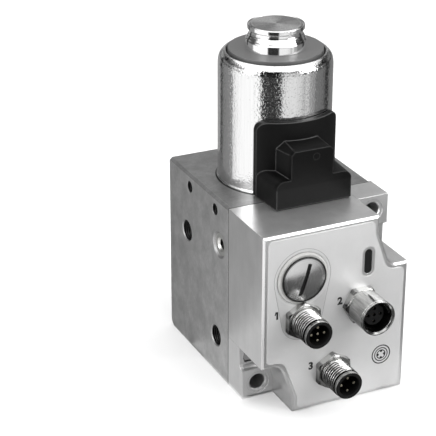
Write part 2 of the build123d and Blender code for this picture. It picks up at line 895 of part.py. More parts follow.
for number, height in enumerate(switch_heights, start=1):
    with BuildPart() as rotor:
        with BuildSketch(setback_plane(rotor_front)):
            with Locations((left_column_x, height)):
                Circle(rotor_radius)
        extrude(amount=-rotor_length)
        with BuildSketch(setback_plane(rotor_front)):
            with Locations((left_column_x, height)):
                Rectangle(rotor_slot_width, 2 * rotor_radius)
        extrude(amount=-rotor_slot_depth, mode=Mode.SUBTRACT)
    rotor.part.label = f"switch_rotor_{number}"
    export_step(rotor.part, f"parts/{rotor.part.label}.step")

# Status lamps behind the window.
with BuildPart() as status_lamps:
    with BuildSketch(setback_plane(board_setback)):
        with Locations((window_x, window_height)):
            with GridLocations(led_spacing, led_spacing, 1, 3):
                Rectangle(led_size, led_size)
    extrude(amount=led_thickness)
status_lamps.part.label = "status_lamps"
export_step(status_lamps.part, "parts/status_lamps.step")

# Pressure sensor between the board and the valve block, its stem sealed in the block.
valve_setback = housing_depth + gasket_thickness
groove_front = valve_setback + sensor_groove_setback
sensor_center = (0, sensor_height)
with BuildPart() as pressure_sensor:
    profile = forward_profile(
        sensor_center,
        [
            (0, board_back),
            (sensor_radius, board_back),
            (sensor_radius, valve_setback - sensor_neck_length),
            (sensor_neck_radius, valve_setback - sensor_neck_length),
            (sensor_neck_radius, valve_setback),
            (sensor_stem_radius, valve_setback),
            (sensor_stem_radius, groove_front),
            (sensor_groove_radius, groove_front),
            (sensor_groove_radius, groove_front + sensor_groove_width),
            (sensor_stem_radius, groove_front + sensor_groove_width),
            (sensor_stem_radius, valve_setback + sensor_stem_length),
            (0, valve_setback + sensor_stem_length),
        ],
    )
    revolve(profile, axis=forward_axis(sensor_center))
pressure_sensor.part.label = "pressure_sensor"
export_step(pressure_sensor.part, "parts/pressure_sensor.step")

with BuildPart() as sensor_seal:
    profile = forward_profile(
        sensor_center,
        [
            (sensor_groove_radius, groove_front),
            (sensor_stem_radius + slide_gap, groove_front),
            (sensor_stem_radius + slide_gap, groove_front + sensor_groove_width),
            (sensor_groove_radius, groove_front + sensor_groove_width),
        ],
    )
    revolve(profile, axis=forward_axis(sensor_center))
sensor_seal.part.label = "sensor_seal"
export_step(sensor_seal.part, "parts/sensor_seal.step")

# Bottom closure of the bore: plug with a guide for the poppet stem, its seal and its snap ring.
plug_bottom = ring_groove_height + ring_groove_width
bottom_radius = lower_bore_radius - fit_gap
groove_bottom = (bottom_seal_land_start + bottom_top - seal_groove_width) / 2
stem_bore_radius = poppet_stem_radius + slide_gap
with BuildPart() as bottom_plug:
    profile = upright_profile(
        [
            (0, plug_bottom),
            (bottom_radius, plug_bottom),
            (bottom_radius, plug_bottom + bottom_land_height),
            (bottom_neck_radius, plug_bottom + bottom_land_height),
            (bottom_neck_radius, bottom_seal_land_start),
            (bottom_radius, bottom_seal_land_start),
            (bottom_radius, groove_bottom),
            (bottom_radius - seal_groove_depth, groove_bottom),
            (bottom_radius - seal_groove_depth, groove_bottom + seal_groove_width),
            (bottom_radius, groove_bottom + seal_groove_width),
            (bottom_radius, bottom_top),
            (bottom_boss_radius, bottom_top),
            (bottom_boss_radius, bottom_boss_top),
            (stem_bore_radius, bottom_boss_top),
            (stem_bore_radius, exhaust_chamber_top),
            (exhaust_chamber_radius, exhaust_chamber_top),
            (exhaust_chamber_radius, exhaust_chamber_floor),
            (0, exhaust_chamber_floor),
        ]
    )
    revolve(profile, axis=stem_axis)
    with BuildSketch(Plane.YZ):
        with Locations((axis_y, exhaust_height)):
            Circle(exhaust_radius)
    extrude(amount=bottom_neck_radius, mode=Mode.SUBTRACT)
bottom_plug.part.label = "bottom_plug"
export_step(bottom_plug.part, "parts/bottom_plug.step")

with BuildPart() as bottom_plug_seal:
    profile = ring_profile(
        bottom_radius - seal_groove_depth,
        lower_bore_radius,
        groove_bottom,
        groove_bottom + seal_groove_width,
    )
    revolve(profile, axis=stem_axis)
bottom_plug_seal.part.label = "bottom_plug_seal"
export_step(bottom_plug_seal.part, "parts/bottom_plug_seal.step")

with BuildPart() as snap_ring:
    ring_bottom = ring_groove_height + (ring_groove_width - ring_thickness)
    ring_outer = lower_bore_radius + ring_groove_depth - seat_gap
    with BuildSketch(Plane.XY.offset(ring_bottom)):
        with Locations((0, axis_y)):
            Circle(ring_outer)
            Circle(ring_outer - ring_width, mode=Mode.SUBTRACT)
        with Locations((0, axis_y + ring_outer)):
            Rectangle(ring_gap_width, 3 * ring_width, mode=Mode.SUBTRACT)
    extrude(amount=ring_thickness)
snap_ring.part.label = "snap_ring"
export_step(snap_ring.part, "parts/snap_ring.step")

# Valve seat against the shoulder of the bore, with its seal.
seat_bottom = seat_shoulder - seat_thickness
seat_groove = seat_bottom + (seat_thickness - seal_groove_width) / 2
with BuildPart() as valve_seat:
    profile = upright_profile(
        [
            (seat_radius, seat_bottom - seat_lip_height),
            (seat_radius + seat_lip_width, seat_bottom - seat_lip_height),
            (seat_radius + seat_lip_width, seat_bottom),
            (bottom_radius, seat_bottom),
            (bottom_radius, seat_groove),
            (bottom_radius - seal_groove_depth, seat_groove),
            (bottom_radius - seal_groove_depth, seat_groove + seal_groove_width),
            (bottom_radius, seat_groove + seal_groove_width),
            (bottom_radius, seat_shoulder),
            (seat_radius, seat_shoulder),
        ]
    )
    revolve(profile, axis=stem_axis)
valve_seat.part.label = "valve_seat"
export_step(valve_seat.part, "parts/valve_seat.step")

with BuildPart() as valve_seat_seal:
    profile = ring_profile(
        bottom_radius - seal_groove_depth,
        lower_bore_radius,
        seat_groove,
        seat_groove + seal_groove_width,
    )
    revolve(profile, axis=stem_axis)
valve_seat_seal.part.label = "valve_seat_seal"
export_step(valve_seat_seal.part, "parts/valve_seat_seal.step")

# Poppet: a headed hollow stem with a rubber face, pressed up by its spring.
head_top = poppet_head_bottom + poppet_head_thickness
seal_top = head_top + poppet_seal_thickness
stem_bottom = exhaust_chamber_top + poppet_stroke
with BuildPart() as poppet:
    profile = upright_profile(
        [
            (poppet_bore_radius, stem_bottom),
            (poppet_stem_radius, stem_bottom),
            (poppet_stem_radius, poppet_head_bottom),
            (poppet_head_radius, poppet_head_bottom),
            (poppet_head_radius, head_top),
            (poppet_seal_inner_radius, head_top),
            (poppet_seal_inner_radius, seal_top),
            (poppet_bore_radius, seal_top),
        ]
    )
    revolve(profile, axis=stem_axis)
poppet.part.label = "poppet"
export_step(poppet.part, "parts/poppet.step")

with BuildPart() as poppet_seal:
    seal_section = ring_profile(poppet_seal_inner_radius, poppet_head_radius, head_top, seal_top)
    revolve(seal_section, axis=stem_axis)
poppet_seal.part.label = "poppet_seal"
export_step(poppet_seal.part, "parts/poppet_seal.step")


def spring_path(mean_radius, wire, bottom, top, turns):
    """Centre line of a coil spring on the valve axis that fills the height from bottom to top."""
    height = top - bottom - 2 * wire
    with BuildLine() as path:
        Helix(height / turns, height, mean_radius, center=(0, axis_y, bottom + wire))
    return path.line


with BuildPart() as poppet_spring:
    path = spring_path(
        poppet_spring_radius,
        poppet_spring_wire,
        bottom_boss_top,
        poppet_head_bottom,
        poppet_spring_turns,
    )
    with BuildSketch(Plane(origin=path @ 0, z_dir=path % 0)):
        Circle(poppet_spring_wire)
    sweep(path=path)
poppet_spring.part.label = "poppet_spring"
export_step(poppet_spring.part, "parts/poppet_spring.step")

# Solenoid pole piece: closes the outlet chamber and carries the lower rod bush.
tube_radius = pole_bore_radius - fit_gap
tube_bore = tube_radius - tube_wall
bush_bore = push_rod_radius + slide_gap
pole_step = pole_top - pole_step_height
lower_bush_top = pole_bottom + lower_bush_length
pole_seal_bottom = chamber_top + (body_height - chamber_top) / 2
with BuildPart() as pole_piece:
    profile = upright_profile(
        [
            (bush_radius, pole_bottom),
            (tube_radius, pole_bottom),
            (tube_radius, pole_seal_bottom),
            (tube_radius - seal_groove_depth, pole_seal_bottom),
            (tube_radius - seal_groove_depth, pole_seal_bottom + seal_groove_width),
            (tube_radius, pole_seal_bottom + seal_groove_width),
            (tube_radius, pole_step),
            (tube_bore, pole_step),
            (tube_bore, pole_top),
            (spring_pocket_radius, pole_top),
            (spring_pocket_radius, spring_pocket_floor),
            (push_rod_radius + run_gap, spring_pocket_floor),
            (push_rod_radius + run_gap, lower_bush_top),
            (bush_radius, lower_bush_top),
        ]
    )
    revolve(profile, axis=stem_axis)
pole_piece.part.label = "pole_piece"
export_step(pole_piece.part, "parts/pole_piece.step")

with BuildPart() as pole_seal:
    profile = ring_profile(
        tube_radius - seal_groove_depth,
        pole_bore_radius,
        pole_seal_bottom,
        pole_seal_bottom + seal_groove_width,
    )
    revolve(profile, axis=stem_axis)
pole_seal.part.label = "pole_seal"
export_step(pole_seal.part, "parts/pole_seal.step")

# Armature tube: pressure tube over the pole step, closed at the top by a head with a stud.
head_bottom = disc_top - tube_head_height
upper_bush_bottom = head_bottom
upper_bush_top = upper_bush_bottom + upper_bush_length
with BuildPart() as armature_tube:
    profile = upright_profile(
        [
            (tube_bore, pole_step),
            (tube_radius, pole_step),
            (tube_radius, disc_top),
            (stud_radius, disc_top),
            (stud_radius, disc_top + stud_length),
            (0, disc_top + stud_length),
            (0, upper_bush_top),
            (bush_radius, upper_bush_top),
            (bush_radius, upper_bush_bottom),
            (tube_bore, upper_bush_bottom),
        ]
    )
    revolve(profile, axis=stem_axis)
armature_tube.part.label = "armature_tube"
export_step(armature_tube.part, "parts/armature_tube.step")

with BuildPart() as guide_bushes:
    revolve(ring_profile(bush_bore, bush_radius, pole_bottom, lower_bush_top), axis=stem_axis)
    revolve(ring_profile(bush_bore, bush_radius, upper_bush_bottom, upper_bush_top), axis=stem_axis)
guide_bushes.part.label = "guide_bushes"
export_step(guide_bushes.part, "parts/guide_bushes.step")

# Armature and push rod: they slide down together and push the poppet off its seat.
armature_bottom = pole_top + poppet_stroke + run_gap
armature_top = upper_bush_bottom - armature_head_gap
with BuildPart() as armature:
    armature_section = ring_profile(
        push_rod_radius, tube_bore - run_gap, armature_bottom, armature_top
    )
    revolve(armature_section, axis=stem_axis)
    with BuildSketch(Plane.XY.offset(armature_bottom)):
        with Locations((0, axis_y)):
            with PolarLocations((push_rod_radius + tube_bore) / 2 + armature_bore_radius, 4):
                Circle(armature_bore_radius)
    extrude(amount=armature_top - armature_bottom, mode=Mode.SUBTRACT)
armature.part.label = "armature"
export_step(armature.part, "parts/armature.step")

rod_bottom = seal_top + run_gap
rod_top = upper_bush_top - run_gap
with BuildPart() as push_rod:
    with BuildSketch(Plane.XY.offset(rod_bottom)):
        with Locations((0, axis_y)):
            Circle(push_rod_radius)
    extrude(amount=rod_top - rod_bottom)
push_rod.part.label = "push_rod"
export_step(push_rod.part, "parts/push_rod.step")

with BuildPart() as return_spring:
    path = spring_path(
        return_spring_radius,
        return_spring_wire,
        spring_pocket_floor,
        armature_bottom,
        return_spring_turns,
    )
    with BuildSketch(Plane(origin=path @ 0, z_dir=path % 0)):
        Circle(return_spring_wire)
    sweep(path=path)
return_spring.part.label = "return_spring"
export_step(return_spring.part, "parts/return_spring.step")

# Coil: base plate, bobbin with its terminal pad, winding and top disc inside the steel can.
base_plate_top = top_z + base_plate_thickness
with BuildPart() as base_plate:
    profile = ring_profile(
        tube_radius + fit_gap,
        can_radius - can_wall - fit_gap,
        top_z,
        base_plate_top,
    )
    revolve(profile, axis=stem_axis)
base_plate.part.label = "base_plate"
export_step(base_plate.part, "parts/base_plate.step")

coil_top = top_z + top_disc_flange_bottom
pad_front = axis_y - can_radius
window_bottom = top_z + pad_bottom
with BuildPart() as coil_bobbin:
    bobbin_bore = tube_radius + fit_gap
    profile = upright_profile(
        [
            (bobbin_bore, base_plate_top),
            (bobbin_flange_radius, base_plate_top),
            (bobbin_flange_radius, base_plate_top + bobbin_flange),
            (bobbin_bore + bobbin_wall, base_plate_top + bobbin_flange),
            (bobbin_bore + bobbin_wall, coil_top - bobbin_flange),
            (bobbin_flange_radius, coil_top - bobbin_flange),
            (bobbin_flange_radius, coil_top),
            (bobbin_bore, coil_top),
        ]
    )
    revolve(profile, axis=stem_axis)
    # The terminal pad stands on a tongue that rises from the lower flange in front of the winding.
    with BuildSketch(Plane.XY.offset(base_plate_top)):
        with Locations((0, axis_y)):
            Circle(bobbin_flange_radius)
            Circle(winding_radius, mode=Mode.SUBTRACT)
        with Locations((0, pad_front)):
            Rectangle(pad_width, can_radius, mode=Mode.INTERSECT)
    extrude(amount=window_bottom + pad_height - base_plate_top)
    with BuildSketch(Plane.XZ.offset(-pad_front)):
        with Locations((0, window_bottom + pad_height / 2)):
            Rectangle(pad_width, pad_height)
    extrude(amount=-(can_radius - winding_radius))
    with BuildSketch(Plane.XY.offset(base_plate_top + bobbin_flange)):
        with Locations((0, axis_y)):
            Circle(winding_radius)
    extrude(amount=coil_top - base_plate_top - 2 * bobbin_flange, mode=Mode.SUBTRACT)
    profile = ring_profile(
        bobbin_bore,
        bobbin_bore + bobbin_wall,
        base_plate_top + bobbin_flange,
        coil_top - bobbin_flange,
    )
    revolve(profile, axis=stem_axis)
coil_bobbin.part.label = "coil_bobbin"
export_step(coil_bobbin.part, "parts/coil_bobbin.step")

with BuildPart() as coil_winding:
    profile = ring_profile(
        bobbin_bore + bobbin_wall,
        winding_radius,
        base_plate_top + bobbin_flange,
        coil_top - bobbin_flange,
    )
    revolve(profile, axis=stem_axis)
coil_winding.part.label = "coil_winding"
export_step(coil_winding.part, "parts/coil_winding.step")

with BuildPart() as top_disc:
    profile = upright_profile(
        [
            (tube_radius + fit_gap, coil_top),
            (can_radius - can_wall - fit_gap, coil_top),
            (can_radius - can_wall - fit_gap, top_z + top_disc_flange_top),
            (top_disc_radius, top_z + top_disc_flange_top),
            (top_disc_radius, disc_top),
            (tube_radius + fit_gap, disc_top),
        ]
    )
    revolve(profile, axis=stem_axis)
top_disc.part.label = "top_disc"
export_step(top_disc.part, "parts/top_disc.step")

can_top = top_z + can_lip_height
with BuildPart() as can_seal:
    profile = ring_profile(
        top_disc_radius,
        can_lip_inner_radius,
        top_z + top_disc_flange_top,
        can_top - can_wall,
    )
    revolve(profile, axis=stem_axis)
can_seal.part.label = "can_seal"
export_step(can_seal.part, "parts/can_seal.step")

with BuildPart() as solenoid_can:
    inner_radius = can_radius - can_wall
    lip_bottom = can_top - can_wall
    with BuildSketch(stem_plane) as can_side:
        with BuildLine():
            Polyline(
                (can_lip_inner_radius, lip_bottom),
                (can_lip_inner_radius, can_top),
                (can_radius, can_top),
                (can_radius, top_z + can_bead_height),
                (can_radius + can_bead_reach, top_z + can_bead_height / 2),
                (can_radius + can_bead_reach, top_z),
                (inner_radius, top_z),
                (inner_radius, lip_bottom),
                close=True,
            )
        make_face()
        outer_corner = can_side.vertices().sort_by_distance((can_radius, can_top))[0]
        fillet(outer_corner, can_shoulder_radius)
        inner_corner = can_side.vertices().sort_by_distance((inner_radius, lip_bottom))[0]
        fillet(inner_corner, can_shoulder_radius - can_wall)
    revolve(axis=stem_axis)
    with BuildSketch(Plane.XZ.offset(-pad_front)):
        with Locations((0, window_bottom + pad_height / 2)):
            Rectangle(pad_width + 2 * seat_gap, pad_height + 2 * seat_gap)
    extrude(amount=-can_radius / 2, mode=Mode.SUBTRACT)
solenoid_can.part.label = "solenoid_can"
export_step(solenoid_can.part, "parts/solenoid_can.step")

# Cap nut: turned, with a waist between its collar and its flange.
with BuildPart() as cap_nut:
    with BuildSketch(stem_plane):
        with BuildLine():
            Polyline(
                (cap_neck_radius + cap_bevel, disc_top + cap_flange_height - cap_bevel),
                (cap_flange_radius, disc_top + cap_flange_height),
                (cap_flange_radius, disc_top + cap_height - cap_bevel),
                (cap_flange_radius - cap_bevel, disc_top + cap_height),
                (0, disc_top + cap_height),
                (0, disc_top + stud_length + run_gap),
                (stud_radius + fit_gap, disc_top + stud_length + run_gap),
                (stud_radius + fit_gap, disc_top),
                (cap_collar_radius, disc_top),
                (cap_collar_radius, disc_top + cap_collar_height),
                (cap_collar_radius - cap_bevel, disc_top + cap_collar_height + cap_bevel),
            )
            ThreePointArc(
                (cap_collar_radius - cap_bevel, disc_top + cap_collar_height + cap_bevel),
                (cap_neck_radius, disc_top + cap_neck_height),
                (cap_neck_radius + cap_bevel, disc_top + cap_flange_height - cap_bevel),
            )
        make_face()
    revolve(axis=stem_axis)
cap_nut.part.label = "cap_nut"
export_step(cap_nut.part, "parts/cap_nut.step")

# Plug moulding: a shield that follows the can, a block on the two housings and a hood between them.
shield_inner = can_radius + can_bead_reach + shield_gap
shield_outer = shield_inner + shield_thickness
block_bottom = top_z + plug_gasket_thickness
shield_reach = shield_outer * math.sin(math.radians(shield_half_angle))
shield_end_y = axis_y - shield_outer * math.cos(math.radians(shield_half_angle))
block_front_y = front_y + block_setback


def block_outline(inset):
    """Footprint of the block, which widens towards the shield."""
    front_half = block_front_width / 2 - inset
    rear_half = block_rear_width / 2 - inset
    with BuildSketch() as outline:
        with BuildLine():
            Polyline(
                (-front_half, block_front_y + inset),
                (front_half, block_front_y + inset),
                (rear_half, shield_end_y),
                (-rear_half, shield_end_y),
                close=True,
            )
        make_face()
        with Locations((0, axis_y)):
            Circle(shield_inner, mode=Mode.SUBTRACT)
    return outline.sketch


with BuildPart() as coil_plug:
    # The shield, cut from a ring by the angle it covers.
    with BuildSketch(Plane.XY.offset(block_bottom)):
        with Locations((0, axis_y)):
            Circle(shield_outer)
            Circle(shield_inner, mode=Mode.SUBTRACT)
    extrude(amount=shield_height)
    with BuildSketch(Plane.XZ.offset(-(axis_y - shield_outer))):
        with Locations((0, block_bottom + shield_height / 2)):
            RectangleRounded(2 * shield_reach, shield_height, shield_corner)
        with Locations((0, block_bottom + shield_height / 4)):
            Rectangle(2 * shield_reach, shield_height / 2)
    shield_sweep = shield_end_y - (axis_y - shield_outer)
    extrude(amount=-(shield_sweep + shield_thickness), mode=Mode.INTERSECT)
    # The block with rounded shoulders.
    with BuildSketch(Plane.XY.offset(block_bottom)):
        add(block_outline(0))
    extrude(amount=block_height - plug_gasket_thickness)
    shoulder_edges = coil_plug.edges().filter_by_position(
        Axis.Z, top_z + block_height - fit_gap, top_z + block_height + fit_gap
    )
    side_edges = shoulder_edges.filter_by(GeomType.LINE).sort_by(Axis.X)
    fillet([side_edges[0], side_edges[-1]], block_corner)
    # The hood, drawn at the shield and a little narrower and lower at its front.
    hood_rear_height = top_z + hood_height - block_bottom
    hood_front_height = hood_rear_height - hood_front_drop
    with BuildSketch(Plane.XZ.offset(-(axis_y - shield_inner))) as hood_rear:
        with Locations((hood_x, block_bottom + hood_rear_height / 2)):
            Rectangle(hood_width, hood_rear_height)
        chamfer(hood_rear.vertices().group_by(Axis.Y)[-1], hood_corner)
    with BuildSketch(Plane.XZ.offset(-block_front_y)) as hood_front:
        with Locations((hood_x, block_bottom + hood_front_height / 2)):
            Rectangle(hood_front_width, hood_front_height)
        chamfer(hood_front.vertices().group_by(Axis.Y)[-1], hood_front_corner)
    loft()
    with BuildSketch(Plane.XY.offset(block_bottom)):
        with Locations((0, axis_y)):
            Circle(shield_inner)
    extrude(amount=shield_height, mode=Mode.SUBTRACT)
    # The cavity for the contacts, open to the can and to the housing below.
    cavity_front_y = block_front_y + hood_cavity_wall
    cavity_length = axis_y - shield_inner - cavity_front_y + shield_thickness
    with BuildSketch(Plane.XY.offset(block_bottom)):
        with Locations((0, cavity_front_y + cavity_length / 2)):
            Rectangle(hood_cavity_width, cavity_length)
    extrude(amount=hood_cavity_height, mode=Mode.SUBTRACT)
coil_plug.part.label = "coil_plug"
export_step(coil_plug.part, "parts/coil_plug.step")

with BuildPart() as plug_gasket:
    with BuildSketch(Plane.XY.offset(top_z)):
        add(block_outline(plug_gasket_inset))
        with Locations((0, cavity_front_y + cavity_length / 2)):
            Rectangle(hood_cavity_width, cavity_length, mode=Mode.SUBTRACT)
    extrude(amount=plug_gasket_thickness)
plug_gasket.part.label = "plug_gasket"
export_step(plug_gasket.part, "parts/plug_gasket.step")

# Contact blades out of the coil and the leads down to the terminal on the board.
blade_center_z = window_bottom + pad_height / 2
with BuildPart() as contact_blades:
    with BuildSketch(Plane.XZ.offset(-pad_front)):
        with Locations((0, blade_center_z)):
            with GridLocations(blade_spacing, blade_spacing, 2, 1):
                Rectangle(blade_thickness, blade_height)
    extrude(amount=pad_front - front_y - blade_tip_setback)
contact_blades.part.label = "contact_blades"
export_step(contact_blades.part, "parts/contact_blades.step")

with BuildPart() as coil_leads:
    with BuildSketch(Plane.XY.offset(terminal_top)):
        with Locations((0, front_y + lead_setback)):
            with GridLocations(blade_spacing, blade_spacing, 2, 1):
                Circle(lead_radius)
    extrude(amount=blade_center_z - blade_height / 2 - terminal_top)
coil_leads.part.label = "coil_leads"
export_step(coil_leads.part, "parts/coil_leads.step")

with BuildPart() as coil_terminal:
    with BuildSketch(setback_plane(board_back)):
        with Locations((0, terminal_top - terminal_height / 2)):
            Rectangle(terminal_width, terminal_height)
    extrude(amount=-(lead_setback + 2 * lead_radius - board_back))
coil_terminal.part.label = "coil_terminal"
export_step(coil_terminal.part, "parts/coil_terminal.step")

# Threaded insert in the gauge port and the porous disc in the exhaust.
with BuildPart() as gauge_insert:
    with BuildSketch(Plane.YZ.offset(left_x + gauge_port_chamfer)):
        with Locations((valve_y + gauge_port_setback, gauge_port_height)):
            Circle(gauge_port_radius - fit_gap)
            Circle(gauge_insert_bore_radius, mode=Mode.SUBTRACT)
    extrude(amount=gauge_insert_length)
    rim = gauge_insert.edges().filter_by(GeomType.CIRCLE).group_by(Axis.X)[0].sort_by(SortBy.RADIUS)[0]
    chamfer(rim, gauge_port_chamfer)
gauge_insert.part.label = "gauge_insert"
export_step(gauge_insert.part, "parts/gauge_insert.step")

with BuildPart() as exhaust_filter:
    with BuildSketch(Plane.YZ.offset(right_x - fit_gap)):
        with Locations((axis_y, exhaust_height)):
            Circle(exhaust_filter_radius - fit_gap)
    extrude(amount=-(exhaust_filter_thickness - fit_gap))
exhaust_filter.part.label = "exhaust_filter"
export_step(exhaust_filter.part, "parts/exhaust_filter.step")
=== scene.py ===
import math

import bmesh
import bpy
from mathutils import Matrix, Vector


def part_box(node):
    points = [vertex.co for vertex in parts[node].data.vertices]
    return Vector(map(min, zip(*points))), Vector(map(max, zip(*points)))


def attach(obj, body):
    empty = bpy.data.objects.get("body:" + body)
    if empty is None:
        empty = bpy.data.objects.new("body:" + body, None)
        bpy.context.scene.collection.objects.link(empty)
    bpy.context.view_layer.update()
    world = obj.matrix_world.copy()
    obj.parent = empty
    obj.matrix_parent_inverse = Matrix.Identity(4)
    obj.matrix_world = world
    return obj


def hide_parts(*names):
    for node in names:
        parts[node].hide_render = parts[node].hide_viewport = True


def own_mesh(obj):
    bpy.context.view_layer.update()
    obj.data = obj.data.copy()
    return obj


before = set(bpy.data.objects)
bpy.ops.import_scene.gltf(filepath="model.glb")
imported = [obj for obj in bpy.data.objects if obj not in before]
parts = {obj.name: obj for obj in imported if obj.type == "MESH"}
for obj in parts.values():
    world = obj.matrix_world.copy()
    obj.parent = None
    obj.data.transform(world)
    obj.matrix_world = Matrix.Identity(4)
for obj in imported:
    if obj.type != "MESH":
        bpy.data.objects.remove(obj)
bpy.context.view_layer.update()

# The studio. The regulator stands on a pale floor that runs on behind it, and is seen from its
# front left corner, a little from above, with a long lens.
camera = bpy.data.objects.new("camera", bpy.data.cameras.new("camera"))
bpy.context.scene.collection.objects.link(camera)
turn, drop = math.radians(-25.0355), math.radians(24.7386)
backwards = Vector(
    (math.sin(turn) * math.cos(drop), -math.cos(turn) * math.cos(drop), math.sin(drop))
)
camera.location = (-0.27996, -0.52722, 0.34095)
camera.rotation_euler = backwards.to_track_quat("Z", "Y").to_euler()
camera.data.lens = 134.11
camera.data.sensor_width = 36
camera.data.clip_start = 0.01
camera.data.clip_end = 20
bpy.context.scene.camera = camera
bpy.context.scene.view_settings.view_transform = "Standard"


class Wire:
    """A socket in a finish. Sums on wires add Math nodes to the same finish."""

    def __init__(self, tree, socket=None):
        self.tree, self.socket = tree, socket

    def node(self, kind, settings, inputs, output=0):
        made = self.tree.nodes.new("ShaderNode" + kind)
        for key, value in settings.items():
            if key == "stops":
                stops = made.color_ramp.elements
                stops.remove(stops[1])
                stops[0].position, stops[0].color = value[0]
                for place, colour in value[1:]:
                    stops.new(place).color = colour
            else:
                setattr(made, key, value)
        for key, value in inputs.items():
            self.join(made.inputs[key], value)
        return Wire(self.tree, made.outputs[output])

    def join(self, socket, value):
        if isinstance(value, Wire):
            self.tree.links.new(value.socket, socket)
        else:
            socket.default_value = value

    def feed(self, inputs, shader="Principled BSDF"):
        for key, value in inputs.items():
            self.join(self.tree.nodes[shader].inputs[key], value)

    def math(self, operation, *values):
        return self.node("Math", {"operation": operation}, dict(enumerate(values)))

    def vector(self, operation, first, second=None, output="Vector"):
        """A sum on colours or vectors, which keeps their three channels."""
        inputs = {0: first}
        if second is not None:
            inputs["Scale" if operation == "SCALE" else 1] = second
        return self.node("VectorMath", {"operation": operation}, inputs, output)

    def part(self, axis):
        return self.node("SeparateXYZ", {}, {"Vector": self}, axis)

    def within(self, low=0.0, high=1.0):
        return self.node("Clamp", {}, {"Value": self, "Min": low, "Max": high})

    def __abs__(self):
        return self.math("ABSOLUTE", self)

    def __add__(self, other):
        return self.math("ADD", self, other)

    __radd__ = __add__

    def __sub__(self, other):
        return self.math("SUBTRACT", self, other)

    def __rsub__(self, other):
        return self.math("SUBTRACT", other, self)

    def __mul__(self, other):
        return self.math("MULTIPLY", self, other)

    __rmul__ = __mul__


def finish(name):
    """A new material, and a wire to build its nodes from."""
    material = bpy.data.materials.new(name)
    material.use_nodes = True
    return material, Wire(material.node_tree)


def position(f):
    """Where a point of the object is, in metres."""
    return f.node("TexCoord", {}, {}, "Object")


def spots(f, stretch=(1, 1, 1)):
    """The same place, drawn out along an axis for brushed marks."""
    return f.vector("MULTIPLY", position(f), stretch)


def speckle(f, place, size, detail=3.0, roughness=0.55):
    """Noise from 0 to 1 about a half, with features of the given size in millimetres."""
    settings = {"Vector": place, "Scale": 1000 / size, "Detail": detail, "Roughness": roughness}
    return f.node("TexNoise", {}, settings)


floor_paint, f = finish("floor_paint")
grain = speckle(f, spots(f), 0.6)
f.feed({
    "Base Color": f.vector("SCALE", (0.93, 0.93, 0.93), 0.99 + 0.02 * grain),
    "Roughness": 0.55 + 0.1 * grain,
    "Normal": f.node("Bump", {}, {"Distance": 0.000004, "Height": grain}),
})
edge = 6
floor = bpy.data.objects.new("floor", bpy.data.meshes.new("floor"))
corners = [(-edge, -edge, 0), (edge, -edge, 0), (edge, edge, 0), (-edge, edge, 0)]
floor.data.from_pydata(corners, [], [(0, 1, 2, 3)])
floor.data.materials.append(floor_paint)
bpy.context.scene.collection.objects.link(floor)

# Cards on the floor and standing round the regulator, for its polished metal to mirror: a dark
# one round the camera, a white one on each side of it, then greys and darks to the back, dimmed
# at two heights. White specks on the floor of the dark one break up its image in the can.
cards_paint, f = finish("cards_paint")
east, north, up = (spots(f).part(axis) for axis in "XYZ")
bearing = f.math("ARCTAN2", north, east) * (1 / math.tau) + 0.5
card_greys = [
    (-180, 1.25), (-149, 1.25), (-145, 0.03), (-107, 0.03), (-103, 0.92), (-78, 0.92),
    (-62, 0.75), (-60, 0.5), (-56, 0.5), (-54, 0.75), (-47, 0.75), (-45, 0.42), (-32, 0.36),
    (-30, 0.2), (-6, 0.2), (2, 0.04), (12, 0.04), (16, 0.22), (46, 0.22), (51, 0.62), (77, 0.62),
    (82, 0.2), (88, 0.4), (104, 0.4), (107, 0.04), (115, 0.04), (119, 0.27), (149, 0.27),
    (152, 1.0), (165, 1.2), (180, 1.25),
]
stops = [((angle + 180) / 360, (grey, grey, grey, 1)) for angle, grey in card_greys]
band = 1 - 0.7 * ((up - 0.5) * 8).within() * ((1.12 - up) * 8).within()
band = band - 0.7 * ((up - 0.08) * 30).within() * ((0.3 - up) * 12).within()
shown = f.vector("SCALE", f.node("ValToRGB", {"stops": stops}, {"Fac": bearing}), band)
reach = f.math("SQRT", east * east + north * north)
rays = f.node("CombineXYZ", {}, {"X": reach * 400, "Y": bearing * 65})
specks = f.node("TexNoise", {}, {"Vector": rays, "Scale": 1.0, "Detail": 2.0, "Roughness": 0.6})
dark_middle, dark_reach = 0.15, 0.05
on_floor = ((0.01 - up) * 1000).within()
on_dark_card = ((dark_reach - abs(bearing - dark_middle)) * 200).within() * on_floor
f.feed({
    "Base Color": (0, 0, 0, 1),
    "Specular IOR Level": 0.0,
    "Emission Color": f.vector("ADD", shown, 0.5 * ((specks - 0.57) * 9).within() * on_dark_card),
    "Emission Strength": 1.0,
})


def card(name, corners, faces, material):
    """A card that only reflections see."""
    made = bpy.data.objects.new(name, bpy.data.meshes.new(name))
    made.data.from_pydata(corners, [], faces)
    made.data.materials.append(material)
    bpy.context.scene.collection.objects.link(made)
    made.visible_camera = made.visible_diffuse = False
    made.visible_shadow = made.visible_transmission = False


distance, low, high, sides = 1.5, 0.0004, 1.5, 72
angles = [math.tau * k / sides for k in range(sides)]
around = [(distance * math.cos(angle), distance * math.sin(angle)) for angle in angles]
upright = [(k, (k + 1) % sides, (k + 1) % sides + sides, k + sides) for k in range(sides)]
card(
    "cards", [(x, y, low) for x, y in around] + [(x, y, high) for x, y in around],
    [tuple(range(sides))] + upright, cards_paint,
)


# Three cards that lie close to the regulator: a white one before the lower foot, a grey one
# beside the housing and a dark one before the connectors, which mirror it underneath.
def glowing(name, strength):
    """Paper that shines a little unevenly."""
    material, f = finish(name)
    f.feed({
        "Base Color": (0, 0, 0, 1),
        "Emission Color": f.vector("SCALE", (1, 1, 1), 0.92 + 0.16 * speckle(f, spots(f), 10)),
        "Emission Strength": strength,
    })
    return material


